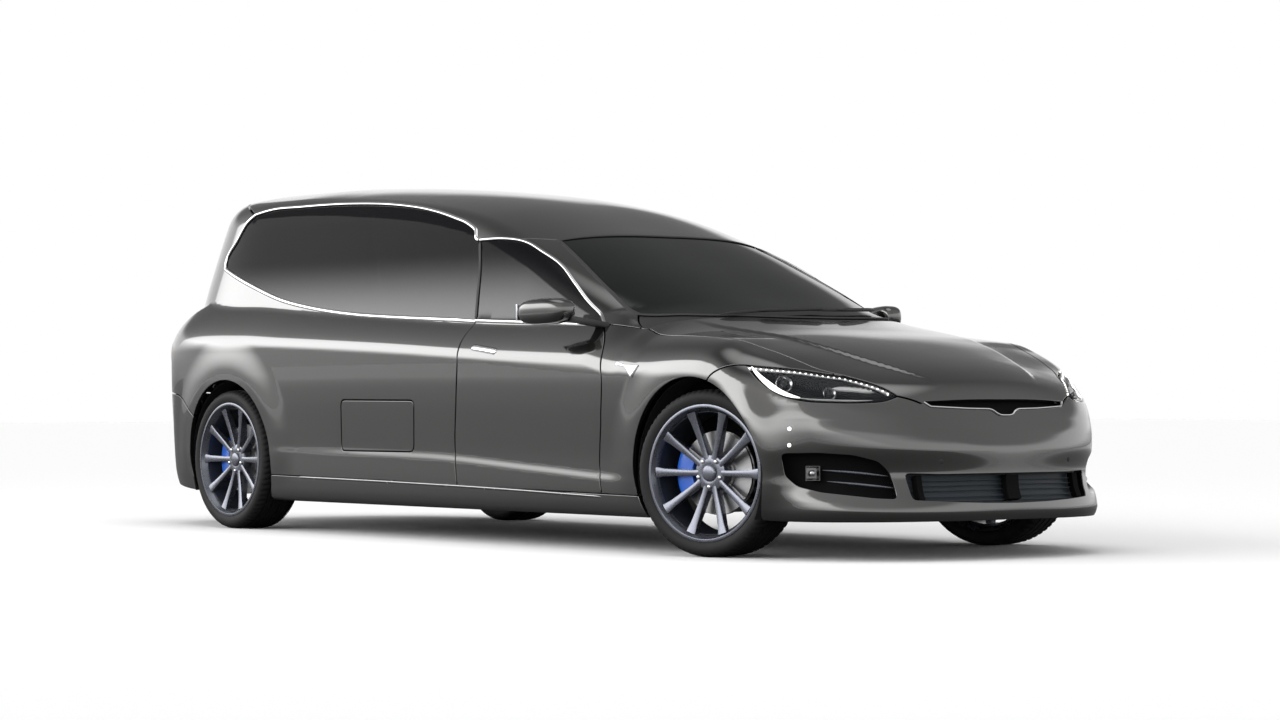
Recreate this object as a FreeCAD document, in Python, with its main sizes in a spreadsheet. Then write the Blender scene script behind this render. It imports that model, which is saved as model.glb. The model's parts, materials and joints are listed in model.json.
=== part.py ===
"""A long electric hearse: a low nose and a raised roof over a coffin deck, two front doors, a top-hinged
tailgate, a front bonnet and a hatch in the right-hand side.

Frame: +X forward, +Y to the car's left, +Z up; the origin is on the ground under the middle of the car.
Millimetres and degrees throughout. Body tables give x from a datum plane just ahead of the front axle.
"""
import FreeCAD, Part
import Sketcher
import os
import re

from FreeCAD import Placement, Rotation, Vector

# ------------------------------------------------------------------ driving dimensions
SIZES = [
    # alias, value, meaning
    ("overall_length", 5780, "nose to rear bumper"),
    ("wheelbase", 3735, "front axle to rear axle"),
    ("nose_overhang", 925, "body datum to nose"),
    ("datum_ahead", 25, "body datum ahead of the front axle"),
    ("front_track", 1660, "between the front wheels' middles"),
    ("rear_track", 1690, "between the rear wheels' middles"),
    ("tyre_radius", 352, "outside of the tread"),
    ("tyre_width", 245, "widest part of the sidewalls"),
    ("rim_radius", 284, "outside of the rim flange"),
    ("barrel_radius", 265, "bead seat of the rim"),
    ("rim_width", 238, "flange to flange"),
    ("spoke_count", 10, "spokes of a wheel"),
    ("spoke_width", 30, "one spoke"),
    ("spoke_depth", 34, "one spoke, along the axle"),
    ("hub_radius", 80, "boss in the middle of a wheel"),
    ("disc_radius", 177, "brake disc"),
    ("disc_thickness", 32, "brake disc"),
    ("kingpin_y", 770, "steering axis from the middle plane"),
    ("steer_rest", 14.5, "how far the parked front wheels are turned to the left"),
    ("wall", 60, "whole thickness of a panel, door or bumper"),
    ("glass", 6, "thickness of the glazing"),
    ("gap", 7, "shut line between panels"),
    ("lid_gap", 12, "shut line around the bonnet and tailgate, inside their lips"),
    ("flange", 8, "outer lip of an opening panel, outside its bevelled edge"),
    ("arch_radius", 392, "wheel arch lip"),
    ("well_radius", 434, "wheel well behind the lip"),
    ("front_well_y", 470, "inner wall of a front wheel well"),
    ("rear_well_y", 640, "inner wall of a rear wheel well"),
    ("well_reach", 840, "where a wheel well narrows to the lip, from the middle plane"),
    ("liner_wall", 6, "wheel well liner"),
    ("floor_top", 300, "height of the cabin floor"),
    ("floor_thickness", 40, "cabin floor"),
    ("floor_width", 1740, "cabin floor"),
    ("battery_length", 2200, "floor battery"),
    ("battery_width", 1300, "floor battery"),
    ("battery_bottom", 150, "ground clearance"),
    ("deck_length", 2330, "coffin deck"),
    ("deck_width", 1080, "coffin deck"),
    ("deck_top", 720, "height of the coffin deck"),
    ("deck_thickness", 30, "coffin deck"),
    ("seat_width", 520, "front seat"),
    ("seat_y", 385, "middle of a front seat"),
    ("steering_radius", 182, "steering wheel"),
    ("steering_ratio", 12, "steering wheel degrees for a degree at the road wheels"),
]

doc = FreeCAD.newDocument("hearse")
sheet = doc.addObject("Spreadsheet::Sheet", "Sizes")
for row, (alias, value, meaning) in enumerate(SIZES, 1):
    sheet.set(f"A{row}", alias)
    sheet.set(f"B{row}", str(value))
    sheet.set(f"C{row}", meaning)
    sheet.setAlias(f"B{row}", alias)
doc.recompute()


def size(alias):
    """A driving dimension as a number."""
    return float(sheet.get(alias))


DATUM = size("overall_length") / 2 - size("nose_overhang")
AXLE_Z = size("tyre_radius")
DATUM_EXPR = "(overall_length / 2 - nose_overhang)"
REAR_AXLE_EXPR = "(overall_length / 2 - nose_overhang - datum_ahead - wheelbase)"
SIDES = {"right": -1, "left": 1}
SIDE_REACH = 1200
PARTS = {}


def bind(thing, **expressions):
    """Binds properties to the sheet: every word of an expression is an alias."""
    for path, expression in expressions.items():
        cells = re.sub(r"[a-z][a-z_]+", lambda word: "Sizes." + word.group(0), str(expression))
        thing.setExpression(path.replace("__", "."), cells)
    return thing


def keep(thing, label):
    """Marks a document object as a sub-part, whose label names its file."""
    thing.Label = label
    PARTS[label] = thing
    return thing


def feature(label, shape):
    """A sub-part whose shape is worked out with Part from the sheet's sizes."""
    made = doc.addObject("Part::Feature", label)
    made.Shape = shape
    return keep(made, label)


def box(name, length, width, height, x, y, z):
    """A Part::Box centred on x and y and standing on z; every argument is an expression."""
    made = doc.addObject("Part::Box", name)
    return bind(made, Length=length, Width=width, Height=height, Placement__Base__x=f"{x} - ({length}) / 2",
                Placement__Base__y=f"{y} - ({width}) / 2", Placement__Base__z=z)


def block(x_low, x_high, y_low, y_high, z_low, z_high):
    """A box between limits, x from the datum."""
    corner = Vector(x_low + DATUM, y_low, z_low)
    return Part.makeBox(x_high - x_low, y_high - y_low, z_high - z_low, corner)


def rod(start, end, radius):
    """A round bar between two points (x from the datum, y, z)."""
    start, end = [Vector(p[0] + DATUM, p[1], p[2]) for p in (start, end)]
    return Part.makeCylinder(radius, (end - start).Length, start, end - start)


def across(radius, x, y_low, y_high, z=AXLE_Z):
    """A cylinder along Y, x from the datum."""
    return Part.makeCylinder(radius, y_high - y_low, Vector(x + DATUM, y_low, z), Vector(0, 1, 0))


def joined(*shapes):
    """One solid from solids that overlap."""
    return shapes[0].fuse(list(shapes[1:])).removeSplitter() if len(shapes) > 1 else shapes[0]


def mirrored(shape):
    return shape.mirror(Vector(0, 0, 0), Vector(0, 1, 0))


def pair(shape):
    """A left-hand shape with its right-hand twin."""
    return Part.makeCompound([shape, mirrored(shape)])


def solids(shape, smallest=2e4):
    """The solids of a boolean's result, without slivers under smallest cubic millimetres."""
    kept = [solid for solid in shape.Solids if solid.Volume > smallest]
    return kept[0] if len(kept) == 1 else Part.makeCompound(kept)


def grown(points, distance):
    """A closed outline with every edge moved outwards by a distance, corners kept sharp."""
    ring = [Vector(a, b, 0) for a, b in points]
    turning = sum(p.x * q.y - q.x * p.y for p, q in zip(ring, ring[1:] + ring[:1]))
    outwards = 1 if turning > 0 else -1
    moved = []
    for before, here, after in zip(ring[-1:] + ring[:-1], ring, ring[1:] + ring[:1]):
        arriving = (here - before).normalize()
        leaving = (after - here).normalize()
        normal = Vector(arriving.y, -arriving.x, 0) * outwards
        bisector = (normal + Vector(leaving.y, -leaving.x, 0) * outwards).normalize()
        corner = here + bisector * (distance / max(0.5, bisector.dot(normal)))
        moved.append((corner.x, corner.y))
    return moved


def outline_face(points, plane="xz"):
    """A flat face from (x, z) or (x, y) points, x from the datum."""
    if plane == "xz":
        corners = [Vector(x + DATUM, 0, z) for x, z in points]
    else:
        corners = [Vector(x + DATUM, y, 0) for x, y in points]
    return Part.Face(Part.makePolygon(corners + corners[:1]))


def side_prism(points, side=1, grow=0.0, y_low=300, y_high=SIDE_REACH):
    """An outline in side view, pushed through one side of the body."""
    face = outline_face(grown(points, grow))
    low, high = sorted((side * y_low, side * y_high))
    face.translate(Vector(0, low, 0))
    return face.extrude(Vector(0, high - low, 0))


def plan_prism(points, grow=0.0, z_low=560, z_high=1900):
    """Half an outline in plan, mirrored in the middle plane and pushed upwards."""
    whole = list(points) + [(x, -y) for x, y in reversed(points) if y]
    face = outline_face(grown(whole, grow), "xy")
    face.translate(Vector(0, 0, z_low))
    return face.extrude(Vector(0, 0, z_high - z_low))


# ------------------------------------------------------------------ body sections
# Half a cross-section of the outer skin on each row: x from the datum, then (y, z) of the sill's
# bottom, rocker, widest point, shoulder, belt, cant rail and roof edge, then the height in the middle.
SECTIONS = [
    (925, (150, 178), (172, 205), (176, 235), (150, 262), (110, 272), (70, 277), (35, 279), 280),
    (893, (285, 165), (338, 225), (180, 400), (140, 440), (100, 462), (65, 470), (32, 474), 476),
    (855, (430, 155), (475, 225), (380, 450), (310, 515), (210, 562), (130, 582), (65, 590), 593),
    (820, (500, 152), (548, 230), (480, 450), (385, 560), (290, 620), (180, 652), (90, 668), 673),
    (700, (655, 150), (708, 235), (678, 450), (600, 640), (507, 700), (350, 735), (175, 755), 762),
    (480, (800, 148), (856, 240), (853, 490), (785, 700), (695, 765), (490, 812), (245, 837), 845),
    (200, (860, 148), (918, 250), (945, 560), (893, 770), (795, 860), (560, 893), (280, 912), 918),
    (-80, (890, 148), (945, 260), (966, 640), (945, 850), (840, 930), (570, 948), (285, 957), 960),
    (-350, (895, 148), (948, 262), (968, 640), (950, 885), (850, 965), (690, 990), (345, 1010), 1018),
    (-627, (895, 148), (948, 264), (968, 640), (950, 890), (872, 985), (712, 1032), (380, 1105), 1128),
    (-1000, (895, 148), (948, 266), (968, 640), (950, 905), (866, 1000), (660, 1198), (340, 1262), 1280),
    (-1460, (895, 148), (948, 268), (970, 640), (950, 920), (862, 1015), (588, 1388), (300, 1440), 1456),
    (-1950, (895, 148), (948, 270), (972, 640), (950, 930), (860, 1030), (640, 1520), (330, 1585), 1604),
    (-2650, (895, 148), (948, 272), (972, 640), (952, 945), (860, 1055), (650, 1630), (340, 1688), 1704),
    (-3400, (895, 148), (946, 276), (974, 650), (960, 960), (862, 1085), (650, 1672), (340, 1730), 1747),
    (-4000, (870, 160), (930, 280), (968, 650), (955, 970), (845, 1095), (630, 1670), (330, 1732), 1757),
    (-4300, (820, 190), (880, 300), (930, 650), (915, 960), (775, 1090), (540, 1650), (290, 1722), 1746),
    (-4500, (720, 230), (790, 330), (850, 650), (835, 950), (650, 1085), (400, 1590), (210, 1660), 1690),
    (-4660, (600, 270), (670, 350), (738, 650), (715, 930), (480, 1060), (330, 1120), (170, 1140), 1150),
    (-4780, (460, 300), (520, 370), (585, 650), (560, 900), (400, 985), (270, 1000), (140, 1010), 1014),
    (-4855, (240, 340), (270, 390), (330, 650), (310, 850), (230, 900), (160, 910), (80, 914), 916),
]

# Outlines in side view, (x, z), and in plan, (x, y) of the left half.
OUTLINES = {
    "door": [(-720, 985), (-660, 800), (-645, 575), (-660, 350), (-690, 250), (-1785, 250), (-1745, 431),
             (-1738, 661), (-1748, 882), (-1735, 1024)],
    "door_glass": [(-775, 997), (-1067, 1165), (-1232, 1258), (-1400, 1330), (-1560, 1385), (-1850, 1400),
                   (-1790, 1180), (-1738, 1036)],
    "side_window": [(-1750, 1042), (-2360, 1064), (-2790, 1090), (-3150, 1127), (-3430, 1174), (-3670, 1241),
                    (-3960, 1352), (-3915, 1500), (-3840, 1600), (-3020, 1615), (-2590, 1592), (-2335, 1565),
                    (-1923, 1462), (-1870, 1405), (-1802, 1180)],
    "flap": [(-2700, 412), (-2080, 412), (-2080, 656), (-2700, 656)],
    "wing": [(220, 1000), (-760, 1010), (-720, 985), (-660, 800), (-645, 575), (-660, 350), (-690, 250),
             (-690, 100), (60, 100), (60, 740), (173, 806)],
    "sill": [(-300, 100), (-300, 244), (-3460, 244), (-3460, 100)],
    "front_bumper": [(60, 100), (60, 740), (120, 789), (173, 806), (200, 900), (1000, 900), (1000, 100)],
    "rear_bumper": [(-4078, 580), (-4300, 690), (-4900, 695), (-4900, 100), (-3900, 100), (-3900, 580)],
    "headlamp": [(200, 803), (358, 728), (452, 687), (548, 658), (634, 655), (735, 650), (728, 676),
                 (574, 748), (442, 783), (369, 812), (184, 872)],
    "tail_lamp": [(-4500, 950), (-4900, 985), (-4900, 800), (-4650, 800)],
    "bonnet": [(-290, 0), (-320, 300), (-430, 590), (-530, 808), (-420, 814), (40, 800), (184, 757),
               (369, 718), (442, 703), (574, 604), (720, 507), (785, 407), (835, 0)],
    "windscreen": [(-1375, 0), (-1390, 300), (-1450, 590), (-688, 720), (-480, 550), (-368, 300), (-340, 0)],
    "scuttle": [(-330, 0), (-355, 300), (-470, 565), (-640, 735), (-560, 800), (-520, 780), (-430, 590),
                (-320, 300), (-290, 0)],
    "roof": [(-1380, 0), (-1395, 300), (-1455, 560), (-1990, 700), (-4600, 700), (-4600, 0)],
}


def mitre_inwards(points, inset):
    """Moves the inner points of a chain sideways by inset, keeping its corners sharp."""
    moved = []
    for before, here, after in zip(points, points[1:], points[2:]):
        arriving = (here - before).normalize()
        leaving = (after - here).normalize()
        normal = Vector(0, -arriving.z, arriving.y)
        bisector = (normal + Vector(0, -leaving.z, leaving.y)).normalize()
        moved.append(here + bisector * (inset / max(0.5, bisector.dot(normal))))
    return moved


def section_wire(row, inset=0.0, x_shift=0.0):
    """One closed cross-section of the skin, moved inwards by inset."""
    x = row[0] + DATUM + x_shift
    half = [Vector(x, y, z) for y, z in row[1:-1]]
    chain = [Vector(x, 0, half[0].z)] + half + [Vector(x, 0, row[-1])]
    left = mitre_inwards(chain, inset) if inset else half
    right = [Vector(p.x, -p.y, p.z) for p in reversed(left)]
    return Part.makePolygon(left + [Vector(x, 0, row[-1] - inset)] + right + left[:1])


def skin(inset=0.0):
    """The body's closed volume, moved inwards by inset, as a ruled loft through the sections."""
    wires = [section_wire(row, inset) for row in SECTIONS[1:-1]]
    nose = section_wire(SECTIONS[0], inset, -inset)
    tail = section_wire(SECTIONS[-1], inset, inset)
    return Part.makeLoft([nose] + wires + [tail], True, True)


WALL = size("wall")
GAP = size("gap")
outer = skin()
pane = outer.cut(skin(size("glass")))
shell = outer.cut(skin(WALL))


# ------------------------------------------------------------------ body panels
def wheel_wells(radius, y_low, y_high, axle):
    return [across(radius, axle, *sorted((side * y_low, side * y_high))) for side in SIDES.values()]


AXLES = {"front": -size("datum_ahead"), "rear": -size("datum_ahead") - size("wheelbase")}
wells = []
for end, axle in AXLES.items():
    wells += wheel_wells(size("arch_radius"), size(end + "_well_y"), SIDE_REACH, axle)
    wells += wheel_wells(size("well_radius"), size(end + "_well_y"), size("well_reach"), axle)
rear_axle_bay = block(-4200, -3690, -645, 645, 100, 300)
shell = shell.cut(wells + [rear_axle_bay])

REST = {"shape": shell}


def carve(prism, grown):
    """Takes a panel out of what is left of the shell, with the shut line around it."""
    piece = REST["shape"].common(prism)
    REST["shape"] = REST["shape"].cut(grown)
    return piece


def side_panel(name, side, y_low=300):
    points = OUTLINES[name]
    return carve(side_prism(points, side, y_low=y_low), side_prism(points, side, GAP, y_low - GAP))


# windows first: their openings go through the whole wall, and the panes lie in its outer face
windows = {}
for name in ("door_glass", "side_window"):
    for side_name, side in SIDES.items():
        windows[name, side_name] = pane.common(side_prism(OUTLINES[name], side))
        REST["shape"] = REST["shape"].cut(side_prism(OUTLINES[name], side, GAP))
feature("side_windows", Part.makeCompound([solids(windows["side_window", side]) for side in SIDES]))
for side_name in SIDES:
    feature(f"door_glass_{side_name}", solids(windows["door_glass", side_name]))

feature("windscreen", solids(pane.common(plan_prism(OUTLINES["windscreen"], z_low=950))))
REST["shape"] = REST["shape"].cut(plan_prism(OUTLINES["windscreen"], GAP, z_low=950))
lip_inside = skin(size("flange"))


def undercut(piece, prism, shift):
    """Bevels the edge of an opening panel that would foul its neighbour as it starts to turn."""
    kept = prism.copy()
    kept.translate(Vector(shift, 0, 0))
    return piece.cut(prism.cut(kept).common(lip_inside))


for side_name, side in SIDES.items():
    door = side_panel("door", side, 600)
    feature(f"door_{side_name}", solids(undercut(door, side_prism(OUTLINES["door"], side), 18)))

feature("side_hatch", solids(side_panel("flap", SIDES["right"], 600)))

bonnet_prisms = [plan_prism(OUTLINES["bonnet"], grow) for grow in (0.0, size("lid_gap"))]
feature("bonnet", solids(undercut(carve(*bonnet_prisms), bonnet_prisms[0], -26)))


def tailgate_prism(grow=0.0):
    """Seen from behind: narrow at the roof, full width at the ledge, down to the bumper."""
    half = [(0, 700), (640, 700), (640, 1000), (600, 1075), (500, 1260), (395, 1600), (330, 1720), (0, 1800)]
    whole = grown(half + [(-y, z) for y, z in reversed(half) if y], grow)
    face = Part.Face(Part.makePolygon([Vector(-4900 + DATUM, y, z) for y, z in whole + whole[:1]]))
    return face.extrude(Vector(470 + grow, 0, 0))


gate = carve(tailgate_prism(), tailgate_prism(size("lid_gap")))
gate_window = [(-4520, 1640), (-4440, 1640), (-4560, 1180), (-4720, 1180)]
gate_hole = side_prism(gate_window, 1, GAP, -370 - GAP, 370 + GAP)
feature("tailgate", solids(gate.cut(gate_hole)))
gate_pane = pane.common(tailgate_prism()).common(side_prism(gate_window, 1, 0, -370, 370))
feature("tailgate_glass", solids(gate_pane))

lamps = [side_panel("headlamp", side, 430) for side in SIDES.values()]
feature("headlamps", Part.makeCompound([solids(lamp) for lamp in lamps]))
lamps = [side_panel("tail_lamp", side, 655) for side in SIDES.values()]
feature("tail_lamps", Part.makeCompound([solids(lamp) for lamp in lamps]))

scuttle_lid = carve(plan_prism(OUTLINES["scuttle"], z_low=900),
                    plan_prism(OUTLINES["scuttle"], 2, z_low=900))

bumper = carve(side_prism(OUTLINES["front_bumper"], 1, 0, -SIDE_REACH),
               side_prism(OUTLINES["front_bumper"], 1, 3, -SIDE_REACH))
intake = block(740, 960, -510, 510, 250, 365)
fog_recess = [block(640, 900, side * 690 - 130, side * 690 + 130, 280, 415) for side in SIDES.values()]
feature("front_bumper", solids(bumper.cut([intake] + fog_recess)))
feature("grille", solids(intake.common(skin(22)).cut(skin(40))))

bumper = carve(side_prism(OUTLINES["rear_bumper"], 1, 0, -SIDE_REACH),
               side_prism(OUTLINES["rear_bumper"], 1, 3, -SIDE_REACH))
feature("rear_bumper", solids(bumper))

sill_prism = side_prism(OUTLINES["sill"], 1, 0, 790)
feature("sills", pair(solids(outer.common(sill_prism).cut(wells))))
REST["shape"] = REST["shape"].cut(block(-3700, 60, -SIDE_REACH, SIDE_REACH, 100, 247))

wings = [carve(side_prism(OUTLINES["wing"], side, 0, 400), side_prism(OUTLINES["wing"], side, 3, 397))
         for side in SIDES.values()]
feature("front_wings", Part.makeCompound([solids(wing) for wing in wings]))

roof_prism = plan_prism(OUTLINES["roof"], z_low=1100)
roof = carve(roof_prism, plan_prism(OUTLINES["roof"], 2, z_low=1100))
feature("roof", solids(roof))

front_part = block(-1990, 0, -SIDE_REACH, SIDE_REACH, 900, 1900)
feature("cabin_pillars", solids(REST["shape"].common(front_part)))
feature("side_panels", solids(REST["shape"].cut(front_part)))

# ------------------------------------------------------------------ wheels
def turned(name, profile, place):
    """A PartDesign body turned about its own Y axis from (radius, along) expressions in pairs."""
    body = doc.addObject("PartDesign::Body", name)
    planes = {plane.Role: plane for plane in body.Origin.OriginFeatures}
    sketch = body.newObject("Sketcher::SketchObject", name + "_profile")
    sketch.AttachmentSupport = (planes["XY_Plane"], [""])
    sketch.MapMode = "FlatFace"
    corners = [Vector(value(radius), value(along), 0) for radius, along in profile]
    for start, end in zip(corners, corners[1:] + corners[:1]):
        sketch.addGeometry(Part.LineSegment(start, end), False)
    count = len(corners)
    for line in range(count):
        sketch.addConstraint(Sketcher.Constraint("Coincident", line, 2, (line + 1) % count, 1))
    for line, (radius, along) in enumerate(profile):
        for kind, expression in (("DistanceX", radius), ("DistanceY", along)):
            index = sketch.addConstraint(Sketcher.Constraint(kind, -1, 1, line, 1, value(expression)))
            bind(sketch, **{f"Constraints[{index}]": expression})
    turn = body.newObject("PartDesign::Revolution", name + "_turn")
    turn.Profile = (sketch, [""])
    turn.ReferenceAxis = (sketch, ["V_Axis"])
    turn.Angle = 360
    body.Placement = place
    return body, planes


def value(expression):
    """What an expression on the sheet's aliases comes to."""
    words = re.split(r"([a-z][a-z_]+)", str(expression))
    numbers = [str(size(word)) if word[:1].isalpha() else word for word in words]
    return float(FreeCAD.Units.parseQuantity("".join(numbers)))


TYRE = [("rim_radius - 18", "22"), ("rim_radius + 5", "22"), ("rim_radius + 14", "6"), ("rim_radius + 42", "0"),
        ("tyre_radius - 9", "10"), ("tyre_radius", "30"), ("tyre_radius", "tyre_width - 30"),
        ("tyre_radius - 9", "tyre_width - 10"), ("rim_radius + 42", "tyre_width"),
        ("rim_radius + 14", "tyre_width - 6"), ("rim_radius + 5", "tyre_width - 22"),
        ("rim_radius - 18", "tyre_width - 22")]
RIM = [("rim_radius - 8", "0"), ("rim_radius", "0"), ("rim_radius", "14"), ("barrel_radius", "16"),
       ("barrel_radius", "rim_width - 16"), ("rim_radius", "rim_width - 14"), ("rim_radius", "rim_width"),
       ("rim_radius - 8", "rim_width"), ("barrel_radius - 9", "rim_width - 20"), ("barrel_radius - 9", "20")]
DISC = [("72", "0"), ("disc_radius", "0"), ("disc_radius", "disc_thickness"), ("88", "disc_thickness"),
        ("88", "disc_thickness + 30"), ("46", "disc_thickness + 30"), ("46", "disc_thickness + 22"),
        ("72", "disc_thickness + 22")]
DISC_Y = 57
HUB_Y = 148
KINGPIN_Y = size("kingpin_y")


def wheel_place(end, side, along):
    """Where a turned piece goes whose own Y runs outwards, along from the wheel's inner face."""
    middle = size(end + "_track") / 2
    start = middle - size("tyre_width") / 2 + along
    outwards = Rotation() if side > 0 else Rotation(Vector(0, 0, 1), 180)
    straight = Placement(Vector(DATUM + AXLES[end], side * start, AXLE_Z), outwards)
    return steered(side).multiply(straight) if end == "front" else straight


def steered(side):
    """The parked turn of a front wheel about its steering axis."""
    turn = Rotation(Vector(0, 0, 1), size("steer_rest"))
    return Placement(Vector(), turn, Vector(DATUM + AXLES["front"], side * KINGPIN_Y, 0))


def rim(label, place):
    """A barrel with a boss and straight spokes between them."""
    body, planes = turned(label, RIM, place)
    spoke = body.newObject("Sketcher::SketchObject", label + "_spoke_outline")
    spoke.AttachmentSupport = (planes["XZ_Plane"], [""])
    spoke.MapMode = "FlatFace"
    spoke.AttachmentOffset = Placement(Vector(0, 0, -(HUB_Y + 28)), Rotation())
    low, high, half = size("hub_radius") - 12, size("barrel_radius") - 4, size("spoke_width") / 2
    corners = [Vector(low, -half, 0), Vector(high, -half, 0), Vector(high, half, 0), Vector(low, half, 0)]
    for start, end in zip(corners, corners[1:] + corners[:1]):
        spoke.addGeometry(Part.LineSegment(start, end), False)
    for line in range(4):
        spoke.addConstraint(Sketcher.Constraint("Coincident", line, 2, (line + 1) % 4, 1))
        spoke.addConstraint(Sketcher.Constraint("Vertical" if line % 2 else "Horizontal", line))
    measures = (("DistanceX", 0, "hub_radius - 12", low), ("DistanceX", 1, "barrel_radius - 4", high),
                ("DistanceY", 0, "-spoke_width / 2", -half), ("DistanceY", 2, "spoke_width / 2", half))
    for kind, line, expression, number in measures:
        index = spoke.addConstraint(Sketcher.Constraint(kind, -1, 1, line, 1, number))
        bind(spoke, **{f"Constraints[{index}]": expression})
    arm = body.newObject("PartDesign::Pad", label + "_spoke")
    arm.Profile = (spoke, [""])
    arm.Reversed = True
    bind(arm, Length="spoke_depth")
    doc.recompute()
    spokes = body.newObject("PartDesign::PolarPattern", label + "_spokes")
    spokes.Originals = [arm]
    spokes.Axis = (spoke, ["N_Axis"])
    spokes.Angle = 360
    bind(spokes, Occurrences="spoke_count")
    body.Tip = spokes
    boss = body.newObject("Sketcher::SketchObject", label + "_boss_outline")
    boss.AttachmentSupport = (planes["XZ_Plane"], [""])
    boss.MapMode = "FlatFace"
    boss.AttachmentOffset = Placement(Vector(0, 0, -HUB_Y), Rotation())
    boss.addGeometry(Part.Circle(Vector(), Vector(0, 0, 1), size("hub_radius")), False)
    boss.addConstraint(Sketcher.Constraint("Coincident", 0, 3, -1, 1))
    radius = boss.addConstraint(Sketcher.Constraint("Radius", 0, size("hub_radius")))
    bind(boss, **{f"Constraints[{radius}]": "hub_radius"})
    pad = body.newObject("PartDesign::Pad", label + "_boss")
    pad.Profile = (boss, [""])
    pad.Length = 62
    pad.Reversed = True
    body.Tip = pad
    return body


for end in AXLES:
    for side_name, side in SIDES.items():
        where = f"{end}_{side_name}"
        keep(turned(f"tyre_{where}", TYRE, wheel_place(end, side, 0))[0], f"tyre_{where}")
        rim_start = (size("tyre_width") - size("rim_width")) / 2
        keep(rim(f"rim_{where}", wheel_place(end, side, rim_start)), f"rim_{where}")
        keep(turned(f"disc_{where}", DISC, wheel_place(end, side, DISC_Y))[0], f"brake_disc_{where}")


def caliper(end, side=1):
    """A brake caliper astride the rear edge of a disc, for a left wheel that points straight ahead."""
    axle = AXLES[end]
    inner = size(end + "_track") / 2 - size("tyre_width") / 2 + DISC_Y
    y_low, y_high = inner - 28, inner + size("disc_thickness") + 26
    ring = across(212, axle, y_low, y_high).cut(across(122, axle, y_low, y_high))
    jaw = ring.common(block(axle - 215, axle - 105, y_low, y_high, AXLE_Z - 75, AXLE_Z + 75))
    slot = across(size("disc_radius") + 6, axle, inner - 6, inner + size("disc_thickness") + 6)
    return jaw.cut(slot), inner


def upright(end):
    """The knuckle that carries a left wheel: a tall web with arms to the caliper and a hub spindle."""
    jaw, disc_y = caliper(end)
    axle = AXLES[end]
    web = block(axle - 26, axle + 26, disc_y - 48, disc_y - 12, AXLE_Z - 152, AXLE_Z + 152)
    arm = block(axle - 180, axle, disc_y - 40, disc_y - 14, AXLE_Z - 30, AXLE_Z + 30)
    return joined(web, arm, jaw, across(34, axle, disc_y - 30, disc_y + size("disc_thickness") + 20))


knuckle_shapes = {"front": upright("front"), "rear": upright("rear")}
for side_name, side in SIDES.items():
    shape = knuckle_shapes["front"] if side > 0 else mirrored(knuckle_shapes["front"])
    turned_shape = shape.copy()
    turned_shape.transformShape(steered(side).toMatrix())
    feature(f"knuckle_front_{side_name}", turned_shape)

# ------------------------------------------------------------------ underneath
keep(box("Battery", "battery_length", "battery_width", "floor_top - floor_thickness - battery_bottom",
         f"{DATUM_EXPR} - 750 - battery_length / 2", "0", "battery_bottom"), "battery_pack")
cabin_floor = box("CabinFloor", "wheelbase - 895", "floor_width", "floor_thickness",
                  f"{DATUM_EXPR} - 460 - (wheelbase - 895) / 2", "0", "floor_top - floor_thickness")
rear_floor = box("RearFloor", "1120", "2 * rear_well_y - 12", "30", f"{REAR_AXLE_EXPR} - 90", "0", "560")
riser = box("FloorRiser", "30", "2 * rear_well_y - 12", "590 - floor_top + floor_thickness",
            f"{REAR_AXLE_EXPR} + 455", "0", "floor_top - floor_thickness")
floor_pan = doc.addObject("Part::MultiFuse", "FloorPan")
floor_pan.Shapes = [cabin_floor, rear_floor, riser]
keep(floor_pan, "floor_pan")
motors = [block(-230, 230, -280, 280, 210, 440), block(-3760 - 240, -3760 + 240, -330, 330, 210, 500)]
feature("drive_units", Part.makeCompound(motors))


def suspension(end, inner_y, web_y):
    """A subframe with upper and lower arms that reach the knuckles on both sides."""
    axle = AXLES[end]
    beams = []
    for side in SIDES.values():
        y_low, y_high = sorted((side * (inner_y - 60), side * inner_y))
        beams.append(block(axle - 420, axle + 420, y_low, y_high, 215, 275))
        for x in (axle - 300, axle + 300):
            beams.append(rod((x, side * (inner_y - 20), 245), (axle, side * (web_y - 6), 232), 16))
        for x in (axle - 120, axle + 120):
            beams.append(rod((x, side * (inner_y - 30), 470), (axle, side * (web_y - 6), 478), 12))
            beams.append(rod((x, side * (inner_y - 30), 245), (x, side * (inner_y - 30), 480), 14))
    for x in (axle - 380, axle + 380):
        beams.append(block(x - 30, x + 30, -inner_y, inner_y, 215, 265))
    return joined(*beams)


FRONT_WEB_Y = KINGPIN_Y - 75
feature("front_suspension", suspension("front", 420, FRONT_WEB_Y))
rear_disc_y = size("rear_track") / 2 - size("tyre_width") / 2 + DISC_Y
feature("rear_suspension", joined(suspension("rear", 470, rear_disc_y - 44), knuckle_shapes["rear"],
                                  mirrored(knuckle_shapes["rear"])))

LINER_LIP = size("well_reach") - 34


def liner(end, side):
    """A half drum over a wheel, closed towards the middle of the car and ending short of the arch."""
    axle, wall = AXLES[end], size("liner_wall")
    radius = size("well_radius") - 1
    inner = size(end + "_well_y")
    drum = across(radius, axle, inner, LINER_LIP).cut(across(radius - wall, axle, inner + wall, LINER_LIP))
    over = drum.cut(block(axle - 500, axle + 500, 0, 1000, -200, AXLE_Z - 40))
    window = block(axle - 380, axle + 380, inner - 10, inner + 20, 0, 520)
    shape = over.cut(window)
    return shape if side > 0 else mirrored(shape)


feature("wheel_liners", Part.makeCompound([liner(end, side) for end in AXLES for side in SIDES.values()]))

# ------------------------------------------------------------------ cabin and load space
firewall = block(-560, -535, -800, 800, size("floor_top"), 930)
shelf = plan_prism([(-560, 0), (-560, 600), (-475, 575), (-350, 300), (-300, 0)], 0, 880, 990)
feature("scuttle", joined(scuttle_lid, shelf.common(skin(WALL)), firewall))
tub = block(-420, 520, -430, 430, 496, 690).cut(block(-412, 512, -422, 422, 504, 691))
feature("front_tub", tub)


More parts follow.
